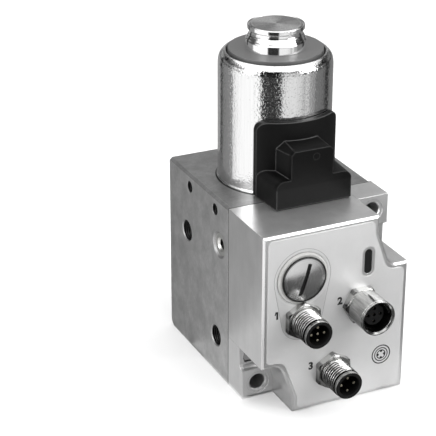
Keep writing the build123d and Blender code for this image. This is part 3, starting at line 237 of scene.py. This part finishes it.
dark_card, f = finish("dark_card")
f.feed({"Base Color": (0.01, 0.01, 0.01, 1), "Roughness": 0.6 + 0.1 * speckle(f, spots(f), 2)})
for name, left, right, near, far, height, paper in (
    ("foot_card", -0.07, 0.01, -0.055, -0.02, 0.0008, glowing("white_card", 0.35)),
    ("side_card", -0.09, -0.031, -0.045, 0.03, 0.001, glowing("grey_card", 0.62)),
    ("front_card", -0.05, 0.14, -0.185, -0.06, 0.0006, dark_card),
):
    corners = [(left, near, height), (right, near, height), (right, far, height), (left, far, height)]
    card(name, corners, [(0, 1, 2, 3)], paper)

# The light. A bright sky that is greyer at the horizon, one large soft box overhead and two
# smaller ones to the right and left of the camera.
sky = bpy.data.worlds.new("studio")
bpy.context.scene.world = sky
sky.use_nodes = True
air = Wire(sky.node_tree)
height = air.node("TexCoord", {}, {}, "Generated").part("Z")
sky_greys = ((0.0, 0.9), (0.5, 0.5), (0.75, 0.8), (1.0, 1.0))
stops = [(place, (grey, grey, grey, 1)) for place, grey in sky_greys]
shade = air.node("ValToRGB", {"stops": stops}, {"Fac": height})
air.feed({"Color": shade, "Strength": 0.75}, "Background")


def softbox(name, place, aim, size, power):
    lamp = bpy.data.lights.new(name, "AREA")
    lamp.shape, lamp.size, lamp.size_y, lamp.energy = "RECTANGLE", *size, power
    made = bpy.data.objects.new(name, lamp)
    made.location = place
    made.rotation_euler = (Vector(place) - Vector(aim)).to_track_quat("Z", "Y").to_euler()
    bpy.context.scene.collection.objects.link(made)


softbox("overhead", (0.1, -0.1, 1.3), (0, 0, 0.05), (3.2, 3.2), 32)
softbox("front_right", (0.9, -0.9, 0.75), (0, 0, 0.06), (0.7, 0.9), 12)
softbox("left_fill", (-1.1, -0.2, 0.6), (0, 0, 0.06), (0.5, 0.9), 5)


# Valve block. A sawn and milled block of aluminium, bead blasted and clear anodised to a dull
# grey, with the fitting ports, the bracket holes and the gauge insert in its left side.
def facing(f):
    """The direction that a point of the surface faces."""
    return f.node("NewGeometry", {}, {}, "Normal")


def rounded(f, radius):
    """The normal of a slightly broken edge, and a mask that is 1 along that edge."""
    soft = f.node("Bevel", {"samples": 6}, {"Radius": radius / 1000})
    along = f.vector("DOT_PRODUCT", soft, facing(f), "Value")
    return soft, ((1 - along) * 5).within()


def worked(name, colour, metal, rough, *, grain, depth, edge,
           stretch=(1, 1, 1), cloud=0.15, wear_and_highlight=0.3, top_shade=0.0):
    """A finish with a fine grain of a size and depth and soft clouds. Its edges are lighter over a
    width, partly wear and partly a painted highlight, and its level faces are painted darker by a
    share (lighter when the share is negative), as painted shade. Sizes are in millimetres."""
    material, f = finish(name)
    fine = speckle(f, spots(f, stretch), grain)
    soft, rim = rounded(f, edge)
    level = abs(facing(f).part("Z"))
    if stretch[2] < 0.1:
        crosswise = speckle(f, spots(f, (stretch[2] * 8, 1, 1)), grain * 0.4)
        fine = fine * (1 - level) + crosswise * level
        fine = 0.5 + (fine - 0.5) * (0.6 - 0.52 * level)
    clouds = speckle(f, spots(f, tuple(0.5 + 0.5 * s for s in stretch)), 6, 6.0, 0.65)
    # Edges lighter, partly wear and partly a painted highlight; level faces carry a painted shade.
    light = (1 - cloud) + 2 * cloud * clouds * (0.6 + 0.8 * fine) + wear_and_highlight * rim
    if top_shade:
        light = light * (1 - top_shade * level)
    f.feed({
        "Base Color": f.vector("SCALE", colour, light),
        "Metallic": metal,
        "Specular IOR Level": 0.5 if metal else 0.25,
        "Roughness": rough + 0.06 * (fine - 0.5) + 0.06 * (clouds - 0.5) - 0.1 * rim,
        "Normal": f.node("Bump", {}, {"Distance": depth / 1000, "Height": fine, "Normal": soft}),
    })
    return material


def cover(material, *names):
    """Give every slot of the named pieces one finish."""
    for name in names:
        for slot in parts[name].material_slots:
            slot.material = material


# The block's level faces are painted darker as painted shade, and its edges lighter, partly wear and
# partly a painted highlight.
dull_anodised = worked(
    "dull_anodised", (0.42, 0.42, 0.42), 0.8, 0.42, grain=0.9, depth=0.06, edge=0.3,
    stretch=(1, 1, 0.6), cloud=0.45, wear_and_highlight=0.7, top_shade=0.4,
)
cover(dull_anodised, "valve_body")


# Threads of the two fitting ports, the gauge insert and the bracket holes. They are cut with a
# tap, so a helical line shows just inside each mouth. The insert is a nickel plated bush.
def turned(name, profile, place, axis, material, reach=None, steps=144, body="regulator"):
    """A body of rotation. Its closed profile holds (radius, distance along the axis, rounding of
    the corner) in millimetres, and reach may change a radius by angle and distance."""
    straight, margin = 0.03, 0.02
    path = []
    for i, (radius, along, soft) in enumerate(profile):
        here = Vector((radius, along))
        if not soft:
            path.append(here)
            continue
        behind = Vector(profile[i - 1][:2]) - here
        ahead = Vector(profile[(i + 1) % len(profile)][:2]) - here
        near = here + behind.normalized() * min(soft, behind.length / 2 - straight)
        far = here + ahead.normalized() * min(soft, ahead.length / 2 - straight)
        path.append(near + behind.normalized() * margin)
        path += [near.lerp(here, t).lerp(here.lerp(far, t), t) for t in (0, 0.25, 0.5, 0.75, 1)]
        path.append(far + ahead.normalized() * margin)
    tilt = Vector((0, 0, 1)).rotation_difference(Vector(axis))
    grid = bmesh.new()
    rings = []
    for k in range(steps):
        angle = math.tau * k / steps
        ring = []
        for radius, along in path:
            if reach:
                radius = reach(angle, radius, along)
            spot = Vector((radius * math.cos(angle), radius * math.sin(angle), along))
            ring.append(grid.verts.new((tilt @ spot + Vector(place)) / 1000))
        rings.append(ring)
    for k in range(steps):
        a, b = rings[k], rings[(k + 1) % steps]
        for i in range(len(path)):
            j = (i + 1) % len(path)
            grid.faces.new((a[i], b[i], b[j], a[j]))
    bmesh.ops.remove_doubles(grid, verts=grid.verts, dist=1e-7)
    bmesh.ops.recalc_face_normals(grid, faces=grid.faces)
    made = bpy.data.objects.new(name, bpy.data.meshes.new(name))
    grid.to_mesh(made.data)
    grid.free()
    made.data.shade_smooth()
    made.data.set_sharp_from_angle(angle=math.radians(30))
    made.data.materials.append(material)
    bpy.context.scene.collection.objects.link(made)
    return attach(made, body)


def screw_thread(pitch, depth, low, high, run_in=0.7, run_out=0.3):
    """A change of radius that cuts a thread between two distances along the axis."""
    def cut(angle, along):
        wave = abs(2 * ((along / pitch - angle / math.tau) % 1) - 1)
        flank = min(1, max(0, (0.82 - wave) / 0.6))
        fade = min(1, (along - low) / run_in, (high - along) / run_out)
        return depth * max(0, fade) * flank
    return cut


left_side = -32
tapped_metal = worked(
    "tapped_metal", (0.025, 0.025, 0.025), 0.9, 0.35, grain=0.4, depth=0.01, edge=0.1
)
for name, radius, y, z, pitch, start, length in (
    ("outlet_port_thread", 4.4, 34.05, 52.6, 0.9, 0.4, 14.2),
    ("supply_port_thread", 4.4, 5.75, 16.9, 0.9, 0.4, 14.2),
    ("gauge_port_thread", 2.2, 2.75, 59.5, 0.8, 1.7, 7.8),
    ("bracket_thread_1", 2.5, 6.55, 73.6, 0.8, 0.3, 9.2),
    ("bracket_thread_2", 2.5, 31.05, 73.6, 0.8, 0.3, 9.2),
):
    cut = screw_thread(pitch, depth=0.3, low=0.1, high=length)
    wall, crest = radius - 0.01, radius - 0.32
    rows = [(crest, length - i * pitch / 8, 0) for i in range(int(length * 8 / pitch))]
    turned(
        name, [(wall, 0, 0), (wall, length, 0)] + rows + [(crest, 0, 0)],
        (left_side + start, y, z), (1, 0, 0), tapped_metal, steps=72,
        reach=lambda angle, r, along, cut=cut, mid=radius - 0.1: r if r > mid else r + cut(angle, along),
    )
insert_nickel = worked("insert_nickel", (0.7, 0.7, 0.68), 1.0, 0.3, grain=0.4, depth=0.01, edge=0.3)
cover(insert_nickel, "gauge_insert")


# Electronics housing. An aluminium casting milled all over: its sides carry fine upright marks
# of the cutter, and the narrow border round the label is a chamfer, painted lighter along the
# left side and the top as a painted highlight. Faces that face front or back, and level faces, are
# painted a little lighter, as painted light. A gasket and cap screws hold it to the block.
def tint(f, share):
    """Multiply the colour of a finish by a share that varies over the surface."""
    colour = f.tree.nodes["Principled BSDF"].inputs["Base Color"].links[0].from_node
    scale = colour.inputs["Scale"]
    f.join(scale, Wire(f.tree, scale.links[0].from_socket) * share)


housing = worked(
    "milled_housing", (0.6, 0.6, 0.6), 0.85, 0.3, grain=0.9, depth=0.012, edge=0.2,
    stretch=(1, 1, 0.012), cloud=0.16, wear_and_highlight=0.4, top_shade=-0.16,
)
f = Wire(housing.node_tree)
aside, ahead, level = (abs(facing(f).part(axis)) for axis in "XYZ")
slant = (4 - 4 * f.math("MAXIMUM", f.math("MAXIMUM", aside, ahead), level)).within()
left, high = (position(f).part(axis) for axis in "XZ")
chamfer_left, chamfer_top = -0.0305, 0.0775
outer = f.math("MAXIMUM", (chamfer_left - left) * 3000, (high - chamfer_top) * 3000).within()
front = (ahead * 20 - 19).within()
# Painted highlight on the chamfer at the left side and the top, and painted light on faces that face
# front or back.
tint(f, 1 + 1.3 * slant * outer + 0.12 * front)
cover(housing, "electronics_housing", "housing_feet")
gasket_line = worked("gasket_line", (0.05, 0.05, 0.05), 0.0, 0.6, grain=0.3, depth=0.01, edge=0.1)
cover(gasket_line, "housing_gasket")
screw_steel = worked("screw_steel", (0.5, 0.5, 0.5), 1.0, 0.3, grain=0.4, depth=0.01, edge=0.2)
cover(screw_steel, "housing_screws", "board_screws", "snap_ring")


# Label. A thin aluminium foil with a satin print ground, stuck to the front. Only the numbers of
# the three connectors and a small pin diagram are printed on it.
foil = worked(
    "label_foil_satin", (0.67, 0.67, 0.67), 0.5, 0.42, grain=0.6, depth=0.003, edge=0.1, cloud=0.05
)
cover(foil, "front_label")
ink = worked("printing_ink", (0.02, 0.02, 0.02), 0.0, 0.5, grain=0.2, depth=0.003, edge=0.02)
label_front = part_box("front_label")[0].y * 1000
for figure, x, z, size in (
    ("1", -25.9, 45.1, 4.3), ("/", -26.6, 46.2, 1.6), ("2", 1.6, 45.6, 4.3), ("3", -10.6, 19.4, 4.3),
):
    curve = bpy.data.curves.new("number_" + figure.replace("/", "1_flag"), "FONT")
    curve.body, curve.size, curve.extrude, curve.offset = figure, size / 1000, 0.00001, 0.0002
    curve.align_x = curve.align_y = "CENTER"
    curve.materials.append(ink)
    number = bpy.data.objects.new(curve.name, curve)
    number.rotation_euler = (math.pi / 2, 0, 0)
    number.location = (x / 1000, (label_front - 0.01) / 1000, z / 1000)
    bpy.context.scene.collection.objects.link(number)
    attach(number, "regulator")


def washer(inner, outer, start, end):
    """The profile of a flat ring, or of a disc with an inner radius of 0."""
    return [(inner, start, 0), (outer, start, 0), (outer, end, 0), (inner, end, 0)]


diagram_x, diagram_z, printed = 21.4, 17.2, (-0.01, 0.02)
for name, radius, width in (("outer", 4.3, 0.5), ("middle", 3.1, 0.42), ("inner", 2.1, 0.42)):
    turned("diagram_ring_" + name, washer(radius - width, radius, *printed),
           (diagram_x, label_front, diagram_z), (0, -1, 0), ink, steps=72)
for i, (aside, above) in enumerate(((0, 1.5), (1.5, 0), (0, -1.5), (-1.5, 0))):
    turned(f"diagram_pin_{i + 1}", washer(0, 0.55, *printed),
           (diagram_x + aside, label_front, diagram_z + above), (0, -1, 0), ink, steps=24)


# Cut-out of the label. Round the screw plug and connector 1 the foil is punched out along two
# circles and their tangents, so the bare milled face shows below the plug, within a cut edge.
plug_x, plug_z = -15.2, 59.4
connector_places = {
    "connector_1": (-15.2, 41.5), "connector_2": (10.8, 42.8), "connector_3": (-1.2, 15.8),
}


def arc(z, radius, start, end):
    """Points on the label's face, from one angle to another round a height on the plug's line."""
    turns = [start + (end - start) * k / 40 for k in range(41)]
    return [
        Vector((radius * math.cos(a) + plug_x, label_front - 0.02, z + radius * math.sin(a))) / 1000
        for a in turns
    ]


def plate(name, corners, faces, material):
    """A plate of foil thickness on the label."""
    made = bpy.data.objects.new(name, bpy.data.meshes.new(name))
    made.data.from_pydata(corners, [], faces)
    made.data.materials.append(material)
    made.modifiers.new("thickness", "SOLIDIFY").thickness = 0.00003
    bpy.context.scene.collection.objects.link(made)
    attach(made, "regulator")


over_plug, over_connector, cut_width = 12.3, 8.9, 0.18
connector_z = connector_places["connector_1"][1]
lean = math.asin((over_plug - over_connector) / (plug_z - connector_z))
plug_side, connector_side = [], []
for width in (0, cut_width):
    plug_side.append(arc(plug_z, over_plug - width, -lean, math.pi + lean))
    connector_side.append(arc(connector_z, over_connector - width, math.pi + lean, math.tau - lean))
edge = plug_side[0] + connector_side[0] + plug_side[1] + connector_side[1]
count = len(edge) // 2
# The cut edge is a thin grey strip of painted shade along the foil's cut.
cut_shade = worked("label_cut_shade", (0.3, 0.3, 0.3), 0.5, 0.4, grain=0.4, depth=0.002, edge=0.05)
plate(
    "label_cut_edge", edge,
    [(k, (k + 1) % count, (k + 1) % count + count, k + count) for k in range(count)], cut_shade,
)
bare_face = worked(
    "bare_face", (0.62, 0.62, 0.62), 0.6, 0.5, grain=0.9, depth=0.006, edge=0.1,
    stretch=(1, 1, 0.05), cloud=0.16,
)
floor_edge = connector_side[1] + arc(plug_z, over_plug - cut_width, -lean, lean - math.pi)
plate("label_cut_floor", floor_edge, [tuple(range(len(floor_edge)))], bare_face)


# Status window. A light guide of dark smoked plastic, pressed in from behind. The light of the
# status lamps comes through it.
smoked = worked("smoked_window", (0.012, 0.012, 0.012), 0.0, 0.12, grain=0.8, depth=0.001, edge=0.3)
cover(smoked, "status_window")


# Screw plug. Turned brass, nickel plated, with a shallow dome and a coin slot, on a rubber ring.
# It screws into the housing, and stands here with the slot leaning to the right.
def lathe_marks(name, colour, rough, *, centre, plane, pitch, depth, lean=0.0, bow_tie_shade=0.0):
    """A turned finish: fine rings about an axis, with a rounded edge painted lighter as a painted
    highlight, sizes in millimetres. The feed marks on a side wall lean up by a share of the normal.
    The end face carries a painted highlight in two wedges and is painted darker by a share between
    them, as painted shade."""
    material, f = finish(name)
    away = f.vector("SUBTRACT", position(f), tuple(c / 1000 for c in centre))
    flat = f.vector("MULTIPLY", away, plane)
    radius = f.vector("LENGTH", flat, output="Value")
    noise = {"W": radius, "Scale": 700 / pitch, "Detail": 4.0}
    broad = f.node("TexNoise", {"noise_dimensions": "1D"}, noise)
    cloud = speckle(f, position(f), 4)
    soft, rim = rounded(f, 0.3)
    soft = f.vector("NORMALIZE", f.vector("ADD", soft, (0, 0, lean)))
    ring = f.math("SINE", radius * (1000 * math.tau / pitch)) * 0.5 + broad
    # The rim term is a painted highlight along the edge.
    light = 0.86 + 0.2 * broad + 0.08 * cloud + 0.2 * rim
    # Painted bow-tie highlight on the end face: painted shade between two bright wedges.
    if bow_tie_shade:
        side = f.vector("NORMALIZE", flat)
        wedge = f.vector("DOT_PRODUCT", side, (0.42, -0.91, 0), "Value")
        between_wedges = 1 - (abs(wedge) * 1.5 - 0.35 + 0.6 * (broad - 0.5)).within()
        end_face = (facing(f).part("Z") * 20 - 19).within()
        light = light * (1 - bow_tie_shade * between_wedges * end_face)
    f.feed({
        "Base Color": f.vector("SCALE", colour, light),
        "Metallic": 1.0,
        "Roughness": rough + 0.12 * (broad - 0.5) + 0.15 * (cloud - 0.5),
        "Normal": f.node("Bump", {}, {"Distance": depth / 1000, "Height": ring, "Normal": soft}),
    })
    return material


slot_turn = math.radians(72)
along_slot = Vector((math.cos(slot_turn), 0, math.sin(slot_turn)))
across_slot = Vector((-math.sin(slot_turn), 0, math.cos(slot_turn)))
nickel = lathe_marks(
    "plug_nickel", (0.7, 0.7, 0.7), 0.17,
    centre=(plug_x, 0, plug_z), plane=(1, 0, 1), pitch=0.4, depth=0.002,
)
# Painted shade: the coin slot and a ring round the plug's edge are darkened in the colour.
f = Wire(nickel.node_tree)
away = f.vector("SUBTRACT", position(f), (plug_x / 1000, 0, plug_z / 1000))
across, along = (
    abs(f.vector("DOT_PRODUCT", away, way, "Value")) for way in (across_slot, along_slot)
)
rim = ((f.math("SQRT", across * across + along * along) - 0.0086) * 5000).within()
slot_shade = ((0.00088 - across) * 15000).within() * ((0.0068 - along) * 9000).within()
tint(f, (1 - 0.93 * slot_shade) * (1 - 0.8 * rim))
cover(nickel, "screw_plug")
plug_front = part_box("screw_plug")[0].y * 1000
shade_black = worked("plug_shade", (0.006, 0.006, 0.006), 0.0, 0.6, grain=0.3, depth=0.004, edge=0.1)
# Painted shadow: a black ring down in the gap round the plug.
turned("plug_gap", washer(9.22, 9.5, -0.75, -0.95), (plug_x, plug_front, plug_z), (0, -1, 0),
       shade_black, body="plug")
# Painted shadow: a black box down in the coin slot.
slot_length, slot_thickness, slot_width, slot_depth = 13.3, 0.6, 1.16, 0.68
slot = bmesh.new()
bmesh.ops.create_cube(slot, size=0.001)
for corner in slot.verts:
    x, y, z = corner.co
    corner.co = x * slot_length * along_slot + z * slot_width * across_slot
    corner.co.y = y * slot_thickness
    corner.co += Vector((plug_x, plug_front + slot_depth, plug_z)) / 1000
slot_shadow_box = bpy.data.objects.new("plug_slot_shadow", bpy.data.meshes.new("plug_slot_shadow"))
slot.to_mesh(slot_shadow_box.data)
slot.free()
slot_shadow_box.data.materials.append(shade_black)
bpy.context.scene.collection.objects.link(slot_shadow_box)
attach(slot_shadow_box, "plug")
ring_rubber = worked(
    "plug_ring_rubber", (0.42, 0.42, 0.41), 0.0, 0.5, grain=0.3, depth=0.005, edge=0.3
)
cover(ring_rubber, "plug_seal")


# Round connectors. Nickel plated brass shells with a spanner hexagon, two with a rolled thread
# and one with a knurled barrel, a black insulating insert and gold flashed contacts. Locknuts
# hold them behind the wall.
def shell_metal(name, x, z):
    """Nickel plating with painted shade: darker down in the thread and the knurls, on the spanner
    flats, along the edges and round the underside."""
    thread_root, hexagon_edge, knurl, knurl_end = 0.0055, 0.0073, 0.0069, -0.0405
    material, f = finish(name)
    away = f.vector("SUBTRACT", position(f), (x / 1000, 0, z / 1000))
    flat = f.vector("MULTIPLY", away, (1, 0, 1))
    radius = f.vector("LENGTH", flat, output="Value")
    under = f.vector("DOT_PRODUCT", f.vector("NORMALIZE", flat), (-0.6, 0, -0.8), "Value")
    crest = ((radius - thread_root) * 2500).within(0.06, 1)
    crest = crest * (1 - ((radius - hexagon_edge) * 3000).within(0, 0.6))
    cloud = speckle(f, position(f), 2)
    stripe = speckle(f, spots(f, (1, 0.08, 1)), 0.9)
    ahead = (knurl_end - position(f).part("Y")) * 3000
    barrel = ((radius - knurl) * 8000).within() * ahead.within()
    soft, rim = rounded(f, 0.25)
    # Painted shade in the thread, on the flats, round the underside and along the edges; the knurled
    # barrel is painted dark with lighter stripes.
    light = crest * (0.85 + 0.25 * cloud) * (1 - 0.8 * (under * 1.4 - 0.2).within()) - 0.3 * rim
    light = light * (1 - barrel * (0.95 - 1.5 * stripe))
    f.feed({
        "Base Color": f.vector("SCALE", (0.7, 0.7, 0.69), light.within(0.03, 1.2)),
        "Metallic": 1.0,
        "Roughness": 0.12 + 0.12 * cloud,
        "Normal": f.node("Bump", {}, {"Distance": 0.000006, "Height": cloud, "Normal": soft}),
    })
    return material


housing_front = -36.85
half_hexagon, hexagon_end = 7, 3.3
thread_radius, thread_start, thread_end = 6.0, 3.4, 12.5
thread_cut = screw_thread(pitch=1.3, depth=0.6, low=thread_start, high=thread_end)


def hexagon(turn):
    """A change of radius for the spanner hexagon and, on the slim shells, the thread ahead of it."""
    def shape(angle, radius, along):
        if along < hexagon_end and radius > half_hexagon:
            from_flat = (angle + turn) % (math.pi / 3) - math.pi / 6
            return min(radius, half_hexagon / math.cos(from_flat))
        if radius == thread_radius and along > 3.2:
            return radius - thread_cut(angle, along)
        return radius
    return shape


flange = [(6.0, -2.2, 0), (6.0, 0.25, 0), (8.083, 0.25, 0.2), (8.083, 2.6, 0), (7.9, 2.72, 0)]
flange += [(7.7, 2.84, 0), (7.5, 2.96, 0), (7.3, 3.08, 0), (7.1, 3.2, 0)]
pin_barrel = [(5.7, 3.2, 0), (5.7, 3.5, 0)]
pin_barrel += [(thread_radius, 3.5 + i * 0.115, 0) for i in range(78)]
pin_barrel += [(thread_radius, thread_end, 0), (5.35, 12.5, 0), (5.35, 13.3, 0), (5.75, 13.3, 0.15)]
pin_barrel += [(5.75, 14.8, 0.25), (5.45, 14.8, 0.1), (5.45, 14.0, 0), (4.9, 14.0, 0), (4.9, -2.2, 0)]
socket_barrel = [(6.7, 3.2, 0), (6.7, 3.7, 0), (7.25, 4.1, 0.2), (7.25, 13.5, 0.1), (7.1, 13.6, 0)]
socket_barrel += [(7.1, 13.9, 0), (7.25, 14.0, 0.1), (7.25, 14.8, 0.25), (6.8, 14.8, 0.15)]
socket_barrel += [(6.1, 14.1, 0), (6.1, 3.2, 0), (4.9, 3.2, 0), (4.9, -2.2, 0)]
for name, barrel, turn in (
    ("connector_1", pin_barrel, math.pi / 6), ("connector_2", socket_barrel, 0),
    ("connector_3", pin_barrel, math.pi / 6),
):
    x, z = connector_places[name]
    plating = shell_metal(name + "_plating", x, z)
    shell = turned(name + "_dressed", flange + barrel, (x, housing_front, z), (0, -1, 0), plating,
                   reach=hexagon(turn), steps=120)
    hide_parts(name + "_shell")
cover(shell_metal("nut_plating", *connector_places["connector_2"]), "connector_nuts")
insert_plastic = worked(
    "insert_plastic", (0.004, 0.004, 0.004), 0.0, 0.6, grain=0.3, depth=0.008, edge=0.1
)
cover(insert_plastic, "connector_1_insert", "connector_2_insert", "connector_3_insert")
gold = worked("contact_plating", (0.62, 0.58, 0.46), 1.0, 0.35, grain=0.3, depth=0.001, edge=0.2)
# Painted shade: only the tips, which face forwards, keep their colour; the contacts' sides are painted
# dark.
f = Wire(gold.node_tree)
tint(f, (0.06 - facing(f).part("Y")).within())
cover(gold, "connector_1_contacts", "connector_2_contacts", "connector_3_contacts", "contact_blades")


# Solenoid can. Deep drawn steel, chromed bright, with a rolled shoulder over the top disc and a
# turned out bead where it stands on the block. A thin black ring under the bead is painted shadow.
chrome, f = finish("can_chrome_bright")
streak = speckle(f, spots(f, (1, 1, 0.03)), 0.7)
peel = f.math("MAXIMUM", speckle(f, spots(f), 0.7, 1.0, 0.6), 0.48)
f.feed({
    "Base Color": f.vector("SCALE", (0.8, 0.8, 0.8), 0.9 + 0.12 * streak),
    "Metallic": 1.0,
    "Roughness": 0.01 + 0.03 * streak * peel,
    "Normal": f.node("Bump", {}, {"Distance": 0.00014, "Height": peel + 0.005 * streak}),
})
stem_x, stem_y, block_top = 0, 18.15, 79
can = turned("solenoid_can_dressed", [
    (19.85, 52.0, 0), (19.85, 53.4, 0.25), (20.9, 53.4, 1.2), (23.1, 51.0, 3.4), (23.1, 1.1, 0.4),
    (23.5, 0.8, 0.15), (23.5, 0.0, 0.1), (21.7, 0.0, 0), (21.7, 50.0, 0), (20.4, 52.0, 0),
], (stem_x, stem_y, block_top), (0, 0, 1), chrome, steps=240)
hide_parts("solenoid_can")
# Painted shadow: a thin black ring where the bead meets the block.
turned("can_foot_shadow_ring", washer(22.5, 23.95, 0.0, 0.05), (stem_x, stem_y, block_top), (0, 0, 1),
       shade_black)


# Top disc, its dark seal and the cap nut. The disc is plain turned steel. The nut is turned from
# bar, plated, faced on top, and clamps the solenoid on its tube.
disc_steel = lathe_marks(
    "disc_steel", (0.22, 0.22, 0.22), 0.62,
    centre=(stem_x, stem_y, 0), plane=(1, 1, 0), pitch=0.5, depth=0.004,
)
cover(disc_steel, "top_disc")
seal_black = worked("seal_black", (0.02, 0.02, 0.02), 0.0, 0.55, grain=0.3, depth=0.006, edge=0.2)
cover(
    seal_black, "can_seal", "connector_seals", "sensor_seal", "bottom_plug_seal",
    "valve_seat_seal", "pole_seal", "plug_gasket", "poppet_seal",
)
# The cap's end face carries the painted bow-tie highlight and painted shade between its wedges.
cap_metal = lathe_marks(
    "cap_turned", (0.95, 0.95, 0.95), 0.1,
    centre=(stem_x, stem_y, 0), plane=(1, 1, 0), pitch=0.5, depth=0.02, lean=0.14, bow_tie_shade=0.55,
)
disc_top = 133.5
cap = turned("cap_nut_dressed", [
    (0, 0, 0), (12.15, 0, 0.15), (12.15, 3.4, 0.12), (11.3, 5.2, 1.0), (10.6, 6.3, 0.6),
    (10.8, 7.6, 0.3), (11.45, 8.1, 0.1), (11.45, 9.6, 0.15), (11.0, 9.6, 0), (10.9, 9.4, 0),
    (10.6, 9.4, 0), (10.5, 9.6, 0), (0, 9.6, 0),
], (stem_x, stem_y, disc_top), (0, 0, 1), cap_metal, steps=192)
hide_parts("cap_nut")


# Plug moulding. Glass filled nylon, moulded in one piece with the shield that hugs the can, with
# the fine spark eroded grain of its mould. Its edges are painted lighter as a painted highlight,
# those on the hood's front less.
nylon = worked(
    "plug_nylon", (0.004, 0.004, 0.004), 0.0, 0.45, grain=0.5, depth=0.04, edge=0.7,
    cloud=0.4, wear_and_highlight=28.0,
)
f = Wire(nylon.node_tree)
f.feed({"Specular IOR Level": 0.16})
ahead, high = (position(f).part(axis) for axis in "YZ")
hood_front, hood_foot = -0.0145, 0.0875
hood = ((hood_front - ahead) * 2000).within() * ((high - hood_foot) * 2000).within()
# Less painted highlight on the hood's front: the colour there is painted darker.
tint(f, 1 - 0.7 * hood)
cover(nylon, "coil_plug")
turned("mould_mark", washer(1.2, 1.6, 0, 0.06), (0.6, -16.72, 99.4), (0, -1, 0), shade_black,
       steps=48)


# Pieces inside. Each has the finish of its kind, though the block and the housing hide most of
# them: turned metal, wound wire, moulded plastic, board laminate and sintered bronze.
for name, colour, metal, rough, grain, depth, edge, pieces in (
    ("plug_alloy", (0.5, 0.5, 0.5), 1.0, 0.35, 0.4, 0.004, 0.3, ["bottom_plug"]),
    ("valve_brass", (0.62, 0.48, 0.26), 1.0, 0.32, 0.4, 0.003, 0.2,
     ["valve_seat", "poppet", "pressure_sensor"]),
    ("core_steel", (0.42, 0.42, 0.43), 1.0, 0.3, 0.4, 0.003, 0.2,
     ["pole_piece", "armature_tube", "armature", "push_rod", "base_plate", "guide_bushes"]),
    ("spring_wire", (0.5, 0.5, 0.5), 1.0, 0.25, 0.3, 0.002, 0.1, ["return_spring", "poppet_spring"]),
    ("bobbin_nylon", (0.5, 0.48, 0.42), 0.0, 0.5, 0.4, 0.004, 0.3, ["coil_bobbin", "coil_terminal"]),
    ("board_laminate", (0.03, 0.12, 0.05), 0.0, 0.4, 0.4, 0.002, 0.2, ["circuit_board"]),
    ("switch_plastic", (0.03, 0.06, 0.2), 0.0, 0.45, 0.4, 0.004, 0.2, ["switch_bodies"]),
    ("rotor_plastic", (0.75, 0.75, 0.72), 0.0, 0.45, 0.4, 0.004, 0.2,
     ["switch_rotor_1", "switch_rotor_2"]),
    ("lamp_lens", (0.7, 0.72, 0.7), 0.0, 0.25, 0.4, 0.002, 0.2, ["status_lamps"]),
    ("lead_jacket", (0.35, 0.02, 0.02), 0.0, 0.5, 0.4, 0.004, 0.2, ["coil_leads"]),
    ("sintered_bronze", (0.35, 0.24, 0.13), 0.9, 0.6, 0.4, 0.08, 0.2, ["exhaust_filter"]),
):
    cover(worked(name, colour, metal, rough, grain=grain, depth=depth, edge=edge), *pieces)
winding = worked(
    "winding_copper", (0.45, 0.16, 0.07), 0.8, 0.35, grain=0.3, depth=0.02, edge=0.2,
    stretch=(0.02, 0.02, 1),
)
cover(winding, "coil_winding")

# The two coil springs, wound from steel wire. They stand on fixed seats. Here each only gets a
# mesh of its own.
for name, joint in (("poppet_spring", "poppet_slide"), ("return_spring", "armature_slide")):
    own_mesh(parts[name])
